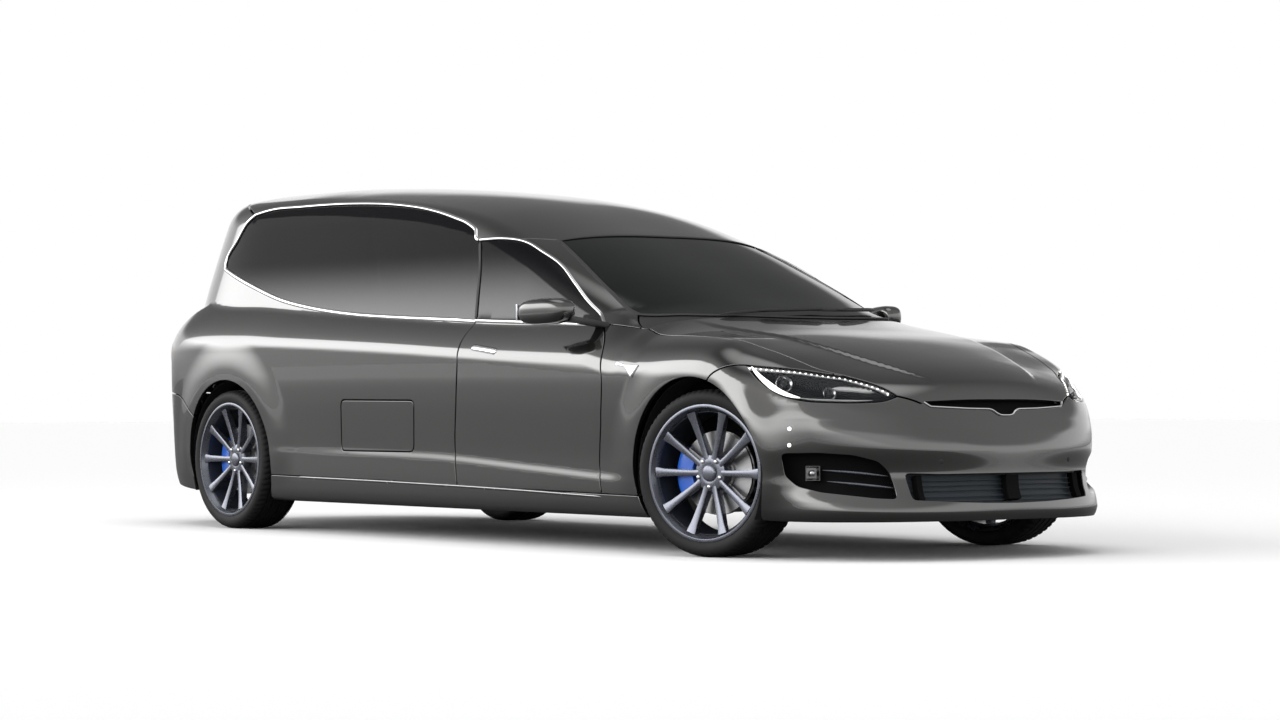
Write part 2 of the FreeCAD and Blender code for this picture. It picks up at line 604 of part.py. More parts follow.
def side_extrusion(points, y_low, y_high):
    return side_prism(points, 1, 0, y_low, y_high)


DASH = [(-570, 640), (-570, 900), (-760, 965), (-960, 965), (-1085, 900), (-1060, 800), (-900, 640)]
console = [(-850, 300), (-850, 660), (-1010, 740), (-1080, 740), (-1250, 560), (-1950, 560), (-1950, 300)]
feature("dashboard", joined(side_extrusion(DASH, -780, 780), side_extrusion(console, -105, 105)))

CUSHION = [(-1300, 330), (-1290, 470), (-1345, 520), (-1800, 490), (-1830, 330)]
BACKREST = [(-1730, 470), (-1700, 560), (-1870, 1010), (-1955, 1010), (-1890, 470)]
HEADREST = [(-1885, 1000), (-1880, 1150), (-1965, 1165), (-1975, 1000)]
seat = []
for points, width in ((CUSHION, 1.0), (BACKREST, 0.96), (HEADREST, 0.5)):
    half = size("seat_width") / 2 * width
    seat.append(side_extrusion(points, size("seat_y") - half, size("seat_y") + half))
feature("seats", pair(joined(*seat)))

keep(box("Deck", "deck_length", "deck_width", "deck_thickness", f"{DATUM_EXPR} - 2080 - deck_length / 2",
         "0", "deck_top - deck_thickness"), "coffin_deck")
deck_underside = size("deck_top") - size("deck_thickness")
supports = [block(x - 20, x + 20, -500, 500, low, deck_underside)
            for x, low in ((-2150, size("floor_top")), (-3050, size("floor_top")),
                           (-3760, 590), (-4340, 590))]
feature("deck_supports", Part.makeCompound(supports))
feature("cab_partition", block(-2040, -2020, -780, 780, size("floor_top"), 1055))

COLUMN_TILT = 24
WHEEL_X, WHEEL_Z = -1200, 905


def steering_wheel():
    """A rim with three spokes and a boss on the end of its column, turned with the road wheels."""
    rim_ring = Part.makeTorus(size("steering_radius"), 16)
    boss = Part.makeCylinder(52, 34, Vector(0, 0, -30))
    spokes = [Part.makeCylinder(11, size("steering_radius"), Vector(), Vector(*way, 0))
              for way in ((1, 0), (-1, 0), (0, -1))]
    column = Part.makeCylinder(19, 84, Vector(0, 0, -110))
    wheel = joined(rim_ring, boss, *spokes, column)
    wheel.rotate(Vector(), Vector(0, 0, 1), size("steer_rest") * size("steering_ratio"))
    facing = Rotation(Vector(0, 0, 1), -90).multiply(Rotation(Vector(1, 0, 0), 90 - COLUMN_TILT))
    wheel.transformShape(Placement(Vector(WHEEL_X + DATUM, size("seat_y"), WHEEL_Z), facing).toMatrix())
    return wheel


feature("steering_wheel", steering_wheel())


def mirror_shape():
    """A left door mirror: a foot at the front of the door glass and a swept pod."""
    foot = rod((-800, 845, 1000), (-890, 970, 1020), 17)
    pod = [(-850, 1000), (-880, 1070), (-950, 1108), (-1110, 1105), (-1110, 995), (-960, 985)]
    housing = side_extrusion(pod, 935, 1085)
    return joined(foot, housing).cut(outer)


feature("mirror_left", mirror_shape())
feature("mirror_right", mirrored(mirror_shape()))

# ------------------------------------------------------------------ files
doc.recompute()
for thing in doc.Objects:
    if {"Invalid", "Error"} & set(thing.State):
        raise RuntimeError(f"{thing.Label} failed: {thing.State}")
os.makedirs("parts", exist_ok=True)
for label, thing in PARTS.items():
    shape = thing.Shape
    if shape.isNull() or not shape.isValid():
        raise RuntimeError(f"{label} has no valid shape")
    shape.exportStep(f"parts/{label}.step")
print(len(PARTS), "parts written")
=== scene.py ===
# %% [markdown]
# # A long electric hearse
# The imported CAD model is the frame: it says where every piece sits and which body carries it. This
# script dresses that frame. All sizes are metres, and x is counted forwards from a datum plane just
# ahead of the front axle, as in the body's own tables, until a mesh is made.

# %% Load the frame
import json

import bpy
import numpy as np
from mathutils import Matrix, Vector
from mathutils.geometry import delaunay_2d_cdt


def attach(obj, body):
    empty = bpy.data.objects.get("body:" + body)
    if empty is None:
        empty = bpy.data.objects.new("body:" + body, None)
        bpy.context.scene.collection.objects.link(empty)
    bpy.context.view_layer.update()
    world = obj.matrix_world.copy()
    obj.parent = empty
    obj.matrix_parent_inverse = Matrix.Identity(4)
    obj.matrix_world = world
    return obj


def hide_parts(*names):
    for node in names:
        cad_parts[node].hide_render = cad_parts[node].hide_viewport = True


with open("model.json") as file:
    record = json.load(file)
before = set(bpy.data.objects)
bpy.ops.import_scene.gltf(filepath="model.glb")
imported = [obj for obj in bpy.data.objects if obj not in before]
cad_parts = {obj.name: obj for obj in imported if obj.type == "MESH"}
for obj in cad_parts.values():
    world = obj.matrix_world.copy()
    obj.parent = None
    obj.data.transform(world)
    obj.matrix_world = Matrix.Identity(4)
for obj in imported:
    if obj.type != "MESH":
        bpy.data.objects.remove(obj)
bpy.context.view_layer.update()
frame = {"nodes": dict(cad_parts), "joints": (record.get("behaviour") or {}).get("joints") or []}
JOINTS = {joint["name"]: joint for joint in frame["joints"]}
DATUM_AHEAD = 0.025
DATUM = JOINTS["steer_left"]["pos_m"][0] + DATUM_AHEAD
REAR_AXLE = JOINTS["roll_rear_left"]["pos_m"][0] - DATUM
AXLE_Z = JOINTS["roll_rear_left"]["pos_m"][2]
RIGHT, LEFT = -1, 1
SIDES = {"right": RIGHT, "left": LEFT}
print("body datum at", round(DATUM, 3), "rear axle at", round(REAR_AXLE, 3), "from it")

# %% [markdown]
# ## Lines and blends
# A body is drawn with a few named curves. Each one is a table of places and values that a smooth line
# runs through without overshooting, and two forms meet in a rounded corner where one would cut the
# other. Both are plain formulas on whole arrays, so a hundred thousand points cost no more code than one.

# %% Smooth lines and rounded corners
def curve(table, x):
    """A smooth line through (place, value) pairs: cubic pieces whose slope at a point is the harmonic
    mean of the slopes beside it, or level where they change sign. Level beyond the ends."""
    places, values = np.array(sorted(table), float).T
    step, rise = np.diff(places), np.diff(values)
    slopes = rise / step
    inner = np.where(slopes[1:] * slopes[:-1] > 0,
                     2 * slopes[1:] * slopes[:-1] / (slopes[1:] + slopes[:-1] + 1e-12), 0)
    tangent = np.concatenate([slopes[:1], inner, slopes[-1:]])
    x = np.clip(x, places[0], places[-1])
    i = np.clip(np.searchsorted(places, x) - 1, 0, len(step) - 1)
    h, t = step[i], (x - places[i]) / step[i]
    return (values[i] * (1 + 2 * t) * (1 - t) ** 2 + values[i + 1] * t * t * (3 - 2 * t)
            + h * t * (1 - t) * (tangent[i] * (1 - t) - tangent[i + 1] * t))


def rounded_max(a, b, radius):
    """The larger of two, raised by (radius - gap) squared over four radii where they are close."""
    near = np.maximum(radius - np.abs(a - b), 0)
    return np.maximum(a, b) + near * near / (4 * radius)


def rounded_min(a, b, radius):
    """The smaller of two, lowered in the same way."""
    return -rounded_max(-a, -b, radius)


def ease(t):
    """From 0 to 1 with level ends."""
    t = np.clip(t, 0, 1)
    return t * t * (3 - 2 * t)


def bump(t):
    """A bell, 1 at t = 0."""
    return np.exp(-t * t)


print("halfway up a 0..1 line:", round(float(curve([(0, 0), (1, 1)], np.array(0.5))), 3))

# %% [markdown]
# ## The body as a field
# The skin of a car is one flowing surface, and its shut lines are cut afterwards. So it is written here
# as a field: a number for every point in space, negative inside, that grows with the distance from the
# skin. The lower body is a rounded plan shape whose length and width change with height, closed by the
# bonnet and shoulders. The cabin is a second form, leaning inwards, under a domed roof. The skin is
# where the field is zero, and its slope gives the true normals for shading.

# %% Lower body: plan shape by height
NOSE_LENGTH = [
    (0.13, 0.895), (0.16, 0.918), (0.20, 0.925), (0.24, 0.922), (0.30, 0.905), (0.36, 0.90), (0.45, 0.898),
    (0.52, 0.885), (0.58, 0.862), (0.65, 0.838), (0.72, 0.822), (0.80, 0.81), (1.2, 0.80)]
NOSE_POWER = [
    (0.20, 2.47), (0.30, 2.32), (0.36, 2.26), (0.45, 2.33), (0.58, 2.37), (0.65, 2.32), (0.75, 2.2),
    (0.85, 2.1), (1.1, 2.1)]
TAIL_LENGTH = [
    (0.13, 0.97), (0.20, 1.03), (0.30, 1.075), (0.42, 1.092), (0.60, 1.095), (0.86, 1.094), (0.93, 1.088),
    (1.0, 1.06), (1.1, 1.0), (1.3, 0.95)]
TAIL_POWER = 3.05
SIDE_BELOW = [
    (0.13, 0.885), (0.148, 0.908), (0.175, 0.931), (0.22, 0.944), (0.28, 0.950), (0.40, 0.953), (0.52, 0.960),
    (0.65, 0.968), (0.78, 0.9735), (0.88, 0.975), (1.2, 0.975)]
WIDEST_Z = [
    (-4.8, 0.90), (-3.3, 0.905), (-2.2, 0.872), (-1.735, 0.846), (-1.245, 0.806), (-0.658, 0.765),
    (0.0, 0.74), (0.8, 0.66)]
RIDGE_Z = [
    (-4.8, 1.08), (-4.3, 1.10), (-3.67, 1.095), (-3.3, 1.078), (-2.85, 1.058), (-2.36, 1.036), (-1.74, 1.005),
    (-1.2, 0.985), (-0.7, 0.965), (0.0, 0.93), (0.4, 0.90)]
SHOULDER_TURN = 0.085
CREASE_Z = [(-3.4, 0.39), (-2.04, 0.375), (-1.10, 0.328), (-0.5, 0.30), (0.9, 0.30)]
CREASE_DEPTH = 0.0048
FLARE, FLARE_REACH, NOSE_FLARE = 0.016, 0.19, 0.03
ARCH_RADIUS = 0.392
BELT_ROUNDING = 0.07
UNDERSIDE, UNDERSIDE_ROUNDING = 0.145, 0.02


def side_width(x, z):
    """Half width beside the wheels: a table by height, drawn in above the widest line with the 2.2nd
    power of the way to the shoulder ridge, less the dip above the door crease. Each arch stands out by
    a flare that is level for a narrow band and then eases away, and the front one by a swelling ahead
    of the wheel."""
    widest, ridge = curve(WIDEST_Z, x), curve(RIDGE_Z, x)
    above = np.maximum(z - widest, 0) / (ridge - widest)
    width = curve(SIDE_BELOW, z) - SHOULDER_TURN * np.minimum(above, 1.6) ** 2.2
    over_crease = z - curve(CREASE_Z, x)
    between_wheels = ease((x + 3.6) / 1.2) * ease((-0.35 - x) / 0.3)
    width = width - CREASE_DEPTH * between_wheels * ease(over_crease / 0.045) * bump(over_crease / 0.22)
    for axle, band in ((-DATUM_AHEAD, 0.012), (REAR_AXLE, 0.045)):
        from_hub = np.hypot(x - axle, z - AXLE_Z)
        beyond = from_hub - ARCH_RADIUS - band
        width = width + FLARE * (1 - ease(beyond / FLARE_REACH)) * ease((z - 0.2) / 0.2)
        ahead_of_wheel = ease((x - 0.08) / 0.25) * ease((z - 0.12) / 0.2)
        width = width + NOSE_FLARE * ahead_of_wheel * bump((from_hub - ARCH_RADIUS) / 0.09)
    return width


def plan_shape(x, y, z):
    """How far a point is outside the lower body's plan: a superellipse ahead of the datum and another
    behind the rear axle, with the side widths between."""
    width = side_width(x, z)
    ahead = np.maximum(x, 0) / curve(NOSE_LENGTH, z)
    behind = np.maximum(REAR_AXLE - x, 0) / curve(TAIL_LENGTH, z)
    power = np.where(x > 0, curve(NOSE_POWER, z), TAIL_POWER)
    reach = (np.maximum(ahead, behind) ** power + (np.abs(y) / width) ** power) ** (1 / power)
    return (reach - 1) * width


# %% [markdown]
# The lid of the lower body is the bonnet, then the shoulders under the windows and the ledge behind
# them. From above it shows in one piece, so it is a height for every place in the plan.

# %% Bonnet, shoulders and tail ledge
BONNET_MIDDLE = [
    (-0.9, 1.17), (-0.6, 1.09), (-0.35, 1.022), (-0.08, 0.968), (0.2, 0.918), (0.45, 0.858), (0.62, 0.806),
    (0.72, 0.762), (0.80, 0.708), (0.84, 0.65), (0.90, 0.52), (1.0, 0.2)]
BONNET_EDGE = [
    (-0.9, 1.0), (-0.53, 0.968), (-0.42, 0.948), (-0.2, 0.938), (0.065, 0.915), (0.2, 0.872), (0.31, 0.83),
    (0.44, 0.765), (0.574, 0.69), (0.72, 0.58), (0.785, 0.52), (0.9, 0.3), (1.0, 0.1)]
EDGE_Y = 0.80
CREASE_Y = [(-0.6, 0.62), (-0.3, 0.60), (0.2, 0.50), (0.6, 0.36), (0.82, 0.22)]
SHELF_Z = [
    (-4.95, 0.70), (-4.87, 0.88), (-4.82, 0.97), (-4.74, 1.045), (-4.66, 1.085), (-4.5, 1.10), (-4.1, 1.112),
    (-3.67, 1.105), (-3.3, 1.088), (-2.85, 1.068), (-2.36, 1.047), (-1.74, 1.016), (-1.0, 0.992),
    (-0.6, 0.98)]
SHELF_Y = 0.868


def top_height(x, y):
    """Height of the lower body's top. Over the bonnet it falls from the middle line to the edge line
    with a power of the way out, less a soft channel outside the bonnet creases. Behind the doors'
    front edges it is a shelf that rises inwards from the shoulders."""
    out = np.abs(y) / EDGE_Y
    middle, edge = curve(BONNET_MIDDLE, x), curve(BONNET_EDGE, x)
    bonnet = middle - (middle - edge) * out ** curve([(-0.5, 4.0), (0.1, 2.6), (0.5, 2.2)], x)
    beside = np.abs(y) - curve(CREASE_Y, x)
    fade = ease((x + 0.5) / 0.3) * ease((0.80 - x) / 0.3)
    bonnet = bonnet - 0.011 * fade * ease(beside / 0.03) * bump(beside / 0.17)
    shelf = curve(SHELF_Z, x) + 0.9 * np.minimum(SHELF_Y - np.abs(y), 0.08 * ease((x + 4.6) / 0.4))
    blend = ease((x + 0.80) / 0.25)
    return shelf * (1 - blend) + bonnet * blend


# %% [markdown]
# Windscreen and roof run in one line over the raised load space, so they are one height as well. The
# cabin's sides lean inwards and close behind the load space in a rounded tail.

# %% Cabin: sides, windscreen and roof
ROOF_MIDDLE = [
    (0.7, 0.1), (0.2, 0.68), (-0.1, 0.90), (-0.35, 1.022), (-0.627, 1.130), (-1.0, 1.280), (-1.46, 1.455),
    (-1.95, 1.603), (-2.31, 1.664), (-2.73, 1.708), (-3.17, 1.738), (-3.62, 1.755), (-4.05, 1.756),
    (-4.3, 1.744), (-4.5, 1.705), (-4.7, 1.64)]
ROOF_FALL = [(-0.35, 0.092), (-1.45, 0.072), (-2.65, 0.078), (-4.3, 0.085)]
ROOF_POWER = [(-0.35, 3.2), (-1.45, 2.8), (-2.65, 2.4)]
CABIN_TAIL = [(1.0, 0.945), (1.19, 0.916), (1.5, 0.828), (1.7, 0.745), (1.8, 0.70)]
CABIN_HALF, CABIN_FOOT, CABIN_LEAN = 0.86, 1.03, 0.26
CANT_ROUNDING = 0.085
FILLET = 0.014


def roof_height(x, y):
    """Windscreen and roof in one line down the middle, falling sideways with a power of the width."""
    return curve(ROOF_MIDDLE, x) - curve(ROOF_FALL, x) * (np.abs(y) / 0.65) ** curve(ROOF_POWER, x)


def cabin_width(x, z):
    """Half width of the cabin: leaning in by an even share of the height above its foot, and drawn in
    at the windscreen with the square of the way ahead of the header."""
    ahead = np.maximum(x + 1.4, 0) / 0.75
    return np.maximum(CABIN_HALF - CABIN_LEAN * np.maximum(z - CABIN_FOOT, 0) - 0.105 * ahead ** 2, 0.05)


def body_field(p):
    """Distance outside the skin, near enough: the rounded join of lower body and cabin."""
    x, y, z = p[..., 0], p[..., 1], p[..., 2]
    lower = rounded_max(plan_shape(x, y, z), (z - top_height(x, y)) * 0.85, BELT_ROUNDING)
    lower = rounded_max(lower, UNDERSIDE - z, UNDERSIDE_ROUNDING)
    width = cabin_width(x, z)
    behind = np.maximum(REAR_AXLE - x, 0) / curve(CABIN_TAIL, z)
    sides = ((behind ** 3 + (np.abs(y) / width) ** 3) ** (1 / 3) - 1) * width
    cabin = rounded_max(sides, (z - roof_height(x, y)) * 0.93, CANT_ROUNDING)
    return rounded_min(lower, cabin, FILLET)


def body_normal(p, reach=0.002):
    """Unit vectors up the slope of the field, from differences either side of each point."""
    steps = np.eye(3) * reach
    slope = np.stack([body_field(p + step) - body_field(p - step) for step in steps], -1)
    return slope / np.linalg.norm(slope, axis=-1, keepdims=True)


probe = np.array([[-2.4, -0.975, 0.87], [-2.4, 0.0, 1.69]])
print("field at the side and roof:", body_field(probe).round(3))

# %% [markdown]
# ## Cutting panels out of the skin
# A panel is marked out like sheet metal: an outline is drawn flat, in side view, from above or wrapped
# round the nose, filled with an even lattice of points joined into triangles, and each point is then
# pushed along its ray until the body field is zero. The panel gets a rolled edge, a back and true
# normals, so a shut line reads as a real gap between two rounded edges.

# %% Flat charts and their rays
def rays_from(flat, origin, direction):
    """Origins and unit directions, from functions of the chart's two coordinates."""
    a, b = flat[:, 0], flat[:, 1]
    nothing = np.zeros_like(a)
    return [np.stack([column + nothing for column in part(a, b)], 1) for part in (origin, direction)]


WRAP, ROLL, DOME = 0.95, 0.75, 0.95  # radii that turn a chart's angles into metres


def wrap_place(p):
    """Along the straight side and then by angle round either end, and height."""
    along = np.clip(p[:, 0], REAR_AXLE, 0)
    return along + WRAP * np.arctan2(p[:, 0] - along, np.abs(p[:, 1])), p[:, 2]


def wrap_way(a, b):
    """Straight out beside the wheels, turning forwards or backwards past an axle."""
    turn = (a - np.clip(a, REAR_AXLE, 0)) / WRAP
    return np.sin(turn), np.cos(turn), 0


def around_y(x, z, radius):
    """A chart of angle in side view about a point, and y."""
    return (lambda p: (radius * np.mod(np.arctan2(p[:, 2] - z, p[:, 0] - x), 2 * np.pi), p[:, 1]),
            lambda a, b: (x, b, z), lambda a, b: (np.cos(a / radius), 0, np.sin(a / radius)))


def around_x(y, z, radius):
    """A chart of x, and angle seen from ahead about a point."""
    return (lambda p: (p[:, 0], radius * np.arctan2(p[:, 2] - z, p[:, 1] - y)),
            lambda a, b: (a, y, z), lambda a, b: (0, np.cos(b / radius), np.sin(b / radius)))


CHARTS = {
    # name: (flat coordinates of a point, ray origin, ray direction)
    "profile": (lambda p: (p[:, 0], p[:, 2]), lambda a, b: (a, 0, b), lambda a, b: (0, 1, 0)),
    "plan": (lambda p: (p[:, 0], p[:, 1]), lambda a, b: (a, b, 0.3), lambda a, b: (0, 0, 1)),
    "front": (lambda p: (p[:, 1], p[:, 2]), lambda a, b: (0, a, b), lambda a, b: (1, 0, 0)),
    "back": (lambda p: (p[:, 1], p[:, 2]), lambda a, b: (-3.9, a, b), lambda a, b: (-1, 0, 0)),
    "wrap": (wrap_place, lambda a, b: (np.clip(a, REAR_AXLE, 0), 0, b), wrap_way),
    "nose": (lambda p: (WRAP * np.arctan2(p[:, 1], p[:, 0]), p[:, 2]),
             lambda a, b: (0, 0, b), lambda a, b: (np.cos(a / WRAP), np.sin(a / WRAP), 0)),
    "tail": (lambda p: (WRAP * np.arctan2(p[:, 1], REAR_AXLE - p[:, 0]), p[:, 2]),
             lambda a, b: (REAR_AXLE, 0, b), lambda a, b: (-np.cos(a / WRAP), np.sin(a / WRAP), 0)),
    "roll": around_x(0.3, 0.45, ROLL),
    "dome": around_x(0.0, 0.75, DOME),
    "lid": around_y(-0.2, 0.1, 0.9),
    "gate": around_y(-3.9, 0.8, 0.9),
}
REACH, HALVINGS = 1.7, 26
print(len(CHARTS), "charts")


def on_body(flat, chart, offset=0.0):
    """Points where rays of a chart leave the body: the ray length is halved in on until the field is
    zero, then the point is moved out by offset along the normal. Gives points and normals."""
    flat = np.atleast_2d(np.asarray(flat, float))
    origin, way = rays_from(flat, *CHARTS[chart][1:])
    low, high = np.zeros(len(flat)), np.full(len(flat), REACH)
    for _ in range(HALVINGS):
        middle = (low + high) / 2
        inside = body_field(origin + way * middle[:, None]) < 0
        low, high = np.where(inside, middle, low), np.where(inside, high, middle)
    points = origin + way * high[:, None]
    normals = body_normal(points)
    return points + normals * offset, normals


def flat_of(points, chart):
    """The flat coordinates of points in space."""
    return np.stack(CHARTS[chart][0](np.asarray(points, float)), 1)


def run(points, step=0.02, smooth=True):
    """A line through points, evenly stepped. A smooth one follows cubic pieces whose direction at a
    point is the mean of the directions beside it, the shorter side counting more."""
    p = np.asarray(points, float)
    length = np.linalg.norm(np.diff(p, axis=0), axis=1)
    where = np.concatenate([[0], np.cumsum(length)])
    t = np.linspace(0, where[-1], max(2, int(np.ceil(where[-1] / step)) + 1))
    if not smooth or len(p) < 3:
        return np.stack([np.interp(t, where, column) for column in p.T], 1)
    way = np.diff(p, axis=0) / length[:, None]
    weight = 1 / length[:, None]
    middle = (way[1:] * weight[1:] + way[:-1] * weight[:-1]) / (weight[1:] + weight[:-1])
    tangent = np.concatenate([way[:1] * 1.5 - middle[:1] * 0.5, middle, way[-1:] * 1.5 - middle[-1:] * 0.5])
    i = np.clip(np.searchsorted(where, t, side="right") - 1, 0, len(p) - 2)
    h = length[i][:, None]
    s = (t - where[i])[:, None] / h
    return (p[i] * (1 + 2 * s) * (1 - s) ** 2 + p[i + 1] * s * s * (3 - 2 * s)
            + h * s * (1 - s) * (tangent[i] * (1 - s) - tangent[i + 1] * s))


def lifted(line, chart, height):
    """A line on the skin, raised along the skin's normals."""
    return on_body(flat_of(line, chart), chart, height)[0]


def nearest(line, x):
    """The number of the line's point nearest a place along the car."""
    return np.argmin(np.abs(line[:, 0] - x))


def seam(chart, points, smooth=True, step=0.018):
    """A line on the skin through flat points of a chart, or through points in space seen by it."""
    points = np.asarray(points, float)
    flat = flat_of(points, chart) if points.shape[1] == 3 else points
    return on_body(run(flat, step, smooth), chart)[0]


def mirrored(line):
    """A line on the other side of the car, run the other way."""
    return (line * (1, -1, 1))[::-1]


def outline(chart, *seams):
    """A closed flat outline from lines on the skin that each start where the last ended."""
    return loop(*[flat_of(line, chart) for line in seams])


def loop(*runs):
    """A closed line from runs that end where the next one starts."""
    return np.concatenate([part[:-1] for part in runs])


# %% [markdown]
# Even triangles take the light best, and a plain fill would leave long slivers. So points are laid
# evenly inside an outline, and a Delaunay triangulation joins them.

# %% Fill an outline
def inset(ring, distance):
    """A closed flat line moved inwards, by the mean of the normals of the two edges at each point."""
    edge = np.roll(ring, -1, axis=0) - ring
    area = np.sum(ring[:, 0] * np.roll(ring[:, 1], -1) - np.roll(ring[:, 0], -1) * ring[:, 1])
    side = np.stack([-edge[:, 1], edge[:, 0]], 1) / (np.linalg.norm(edge, axis=1, keepdims=True) + 1e-12)
    mean = side + np.roll(side, 1, axis=0)
    mean = mean / np.maximum(np.sum(mean * mean, 1, keepdims=True) / 2, 0.35)
    return ring + mean * distance * np.sign(area)


def within(points, ring):
    """Whether points are inside a closed line: an odd number of its edges lies to their right."""
    ahead = np.roll(ring, -1, axis=0)
    inside = np.zeros(len(points), bool)
    for a, b in zip(ring, ahead):
        spans = (a[1] > points[:, 1]) != (b[1] > points[:, 1])
        if a[1] != b[1]:
            inside ^= spans & (points[:, 0] < (b[0] - a[0]) * (points[:, 1] - a[1]) / (b[1] - a[1]) + a[0])
    return inside


def lattice(outer, holes, step):
    """Triangles over a flat outline with holes: its own points and an even lattice inside."""
    rings = [outer] + list(holes)
    low, high = outer.min(0), outer.max(0)
    a, b = np.meshgrid(np.arange(low[0], high[0], step), np.arange(low[1], high[1], step * 0.87),
                       indexing="ij")
    a = a + (np.arange(a.shape[1]) % 2) * step / 2
    inner = np.stack([a.ravel(), b.ravel()], 1)
    keep = within(inner, outer)
    for ring in holes:
        keep &= ~within(inner, ring)
    inner = inner[keep]
    for ring in rings:
        ends = np.roll(ring, -1, axis=0) - ring
        for start in range(0, len(ring), 64):
            a0, e = ring[start:start + 64], ends[start:start + 64]
            gap = inner[:, None] - a0[None]
            along = np.clip((gap * e).sum(2) / ((e * e).sum(1) + 1e-12), 0, 1)
            inner = inner[(np.linalg.norm(gap - along[..., None] * e, axis=2) > step * 0.5).all(1)]
    edges, count = [], 0
    for ring in rings:
        ids = np.arange(len(ring)) + count
        edges += list(zip(ids.tolist(), np.roll(ids, -1).tolist()))
        count += len(ring)
    points = np.concatenate(rings + [inner])
    made = delaunay_2d_cdt(points.tolist(), edges, [], 0, 1e-7)
    flat = np.array([tuple(v) for v in made[0]])
    faces = np.array([f for f in made[2] if len(f) == 3])
    middle = flat[faces].mean(1)
    keep = within(middle, outer)
    for ring in holes:
        keep &= ~within(middle, ring)
    faces = faces[keep]
    one, two = flat[faces[:, 1]] - flat[faces[:, 0]], flat[faces[:, 2]] - flat[faces[:, 0]]
    turned = one[:, 0] * two[:, 1] - one[:, 1] * two[:, 0]
    faces = faces[np.abs(turned) > 1e-9]
    turned = turned[np.abs(turned) > 1e-9]
    return flat, np.where((turned < 0)[:, None], faces[:, ::-1], faces)


# %% [markdown]
# A mesh could be modelled by hand or built up by modifiers. Here each shape is worked out as arrays
# that one function puts into the mesh in bulk, which is quick and keeps every normal where it was put.

# %% Meshes from arrays
def make_mesh(name, points, groups):
    """One mesh from points and groups of (faces, normals): a group's normals are one for each corner
    of each face, or None for smooth ones worked out from the faces. x goes from the datum to the frame."""
    name, points = name.replace(" ", "_"), np.asarray(points, float) + (DATUM, 0, 0)
    sizes = np.concatenate([np.full(len(faces), faces.shape[1]) for faces, _ in groups])
    corners = np.concatenate([faces.ravel() for faces, _ in groups])
    mesh = bpy.data.meshes.new(name)
    mesh.vertices.add(len(points))
    mesh.vertices.foreach_set("co", points.ravel())
    mesh.loops.add(len(corners))
    mesh.loops.foreach_set("vertex_index", corners.astype(np.int32))
    mesh.polygons.add(len(sizes))
    mesh.polygons.foreach_set("loop_start", (np.cumsum(sizes) - sizes).astype(np.int32))
    mesh.update(calc_edges=True)
    mesh.validate()
    mesh.polygons.foreach_set("use_smooth", np.ones(len(mesh.polygons), bool))
    if all(normals is not None for _, normals in groups) and len(mesh.loops) == len(corners):
        mesh.normals_split_custom_set(np.concatenate([normals.reshape(-1, 3) for _, normals in groups]))
    thing = bpy.data.objects.new(name, mesh)
    bpy.context.collection.objects.link(thing)
    return thing


# %% [markdown]
# Sheet metal has thickness, and its edge is folded over. A solidified and bevelled sheet would do, but
# rings of points along the edge also give each one its true normal.

# %% Roll the edge over
def shell(points, normals, faces, thickness, roll):
    """A closed shell from a surface: its open edge rolls over on a quarter circle, drops to the back
    and returns. Gives points and groups for make_mesh."""
    edges = np.concatenate([faces[:, [0, 1]], faces[:, [1, 2]], faces[:, [2, 0]]])
    key = np.sort(edges, 1) @ np.array([len(points), 1])
    _, first, times = np.unique(key, return_index=True, return_counts=True)
    edges = edges[first[times == 1]]
    rim = np.unique(edges)
    place = np.full(len(points), -1)
    place[rim] = np.arange(len(rim))
    outward = np.cross(points[edges[:, 1]] - points[edges[:, 0]], normals[edges].mean(1))
    outward /= np.linalg.norm(outward, axis=1, keepdims=True) + 1e-12
    away = np.zeros((len(rim), 3))
    for end in (0, 1):
        np.add.at(away, place[edges[:, end]], outward)
    up = normals[rim]
    away -= up * np.sum(away * up, 1, keepdims=True)
    away /= np.linalg.norm(away, axis=1, keepdims=True) + 1e-12
    rings, turns = [points[rim]], [up]
    for angle in np.radians([30, 60, 90]):
        rings.append(points[rim] + away * roll * np.sin(angle) - up * roll * (1 - np.cos(angle)))
        turns.append(up * np.cos(angle) + away * np.sin(angle))
    rings.append(points[rim] + away * roll - up * thickness)
    turns.append(away)
    count, back = len(points), len(points)
    whole = [points, points - normals * thickness] + rings[1:]
    starts = [None] + [2 * count + k * len(rim) for k in range(len(rings) - 1)]
    groups = [(faces, normals[faces]), (faces[:, ::-1] + back, -normals[faces[:, ::-1]])]
    a, b = place[edges[:, 0]], place[edges[:, 1]]
    for k in range(len(rings) - 1):
        upper = (edges[:, 0], edges[:, 1]) if k == 0 else (a + starts[k], b + starts[k])
        quad = np.stack([upper[1], upper[0], a + starts[k + 1], b + starts[k + 1]], 1)
        groups.append((quad, np.stack([turns[k][b], turns[k][a], turns[k + 1][a], turns[k + 1][b]], 1)))
    last = starts[-1]
    quad = np.stack([b + last, a + last, edges[:, 0] + back, edges[:, 1] + back], 1)
    groups.append((quad, np.repeat(-up[b][:, None], 4, 1)))
    return np.concatenate(whole), groups


def mirror_groups(points, groups):
    """The same on the other side of the car, with its faces turned round to point outwards."""
    flip = np.array([1, -1, 1])
    return points * flip, [(faces[:, ::-1], None if normals is None else (normals * flip)[:, ::-1])
                           for faces, normals in groups]


def join(parts):
    """Several (points, groups) as one."""
    shift, points, groups = 0, [], []
    for some, its_groups in parts:
        points.append(some)
        groups += [(faces + shift, normals) for faces, normals in its_groups]
        shift += len(some)
    return np.concatenate(points), groups


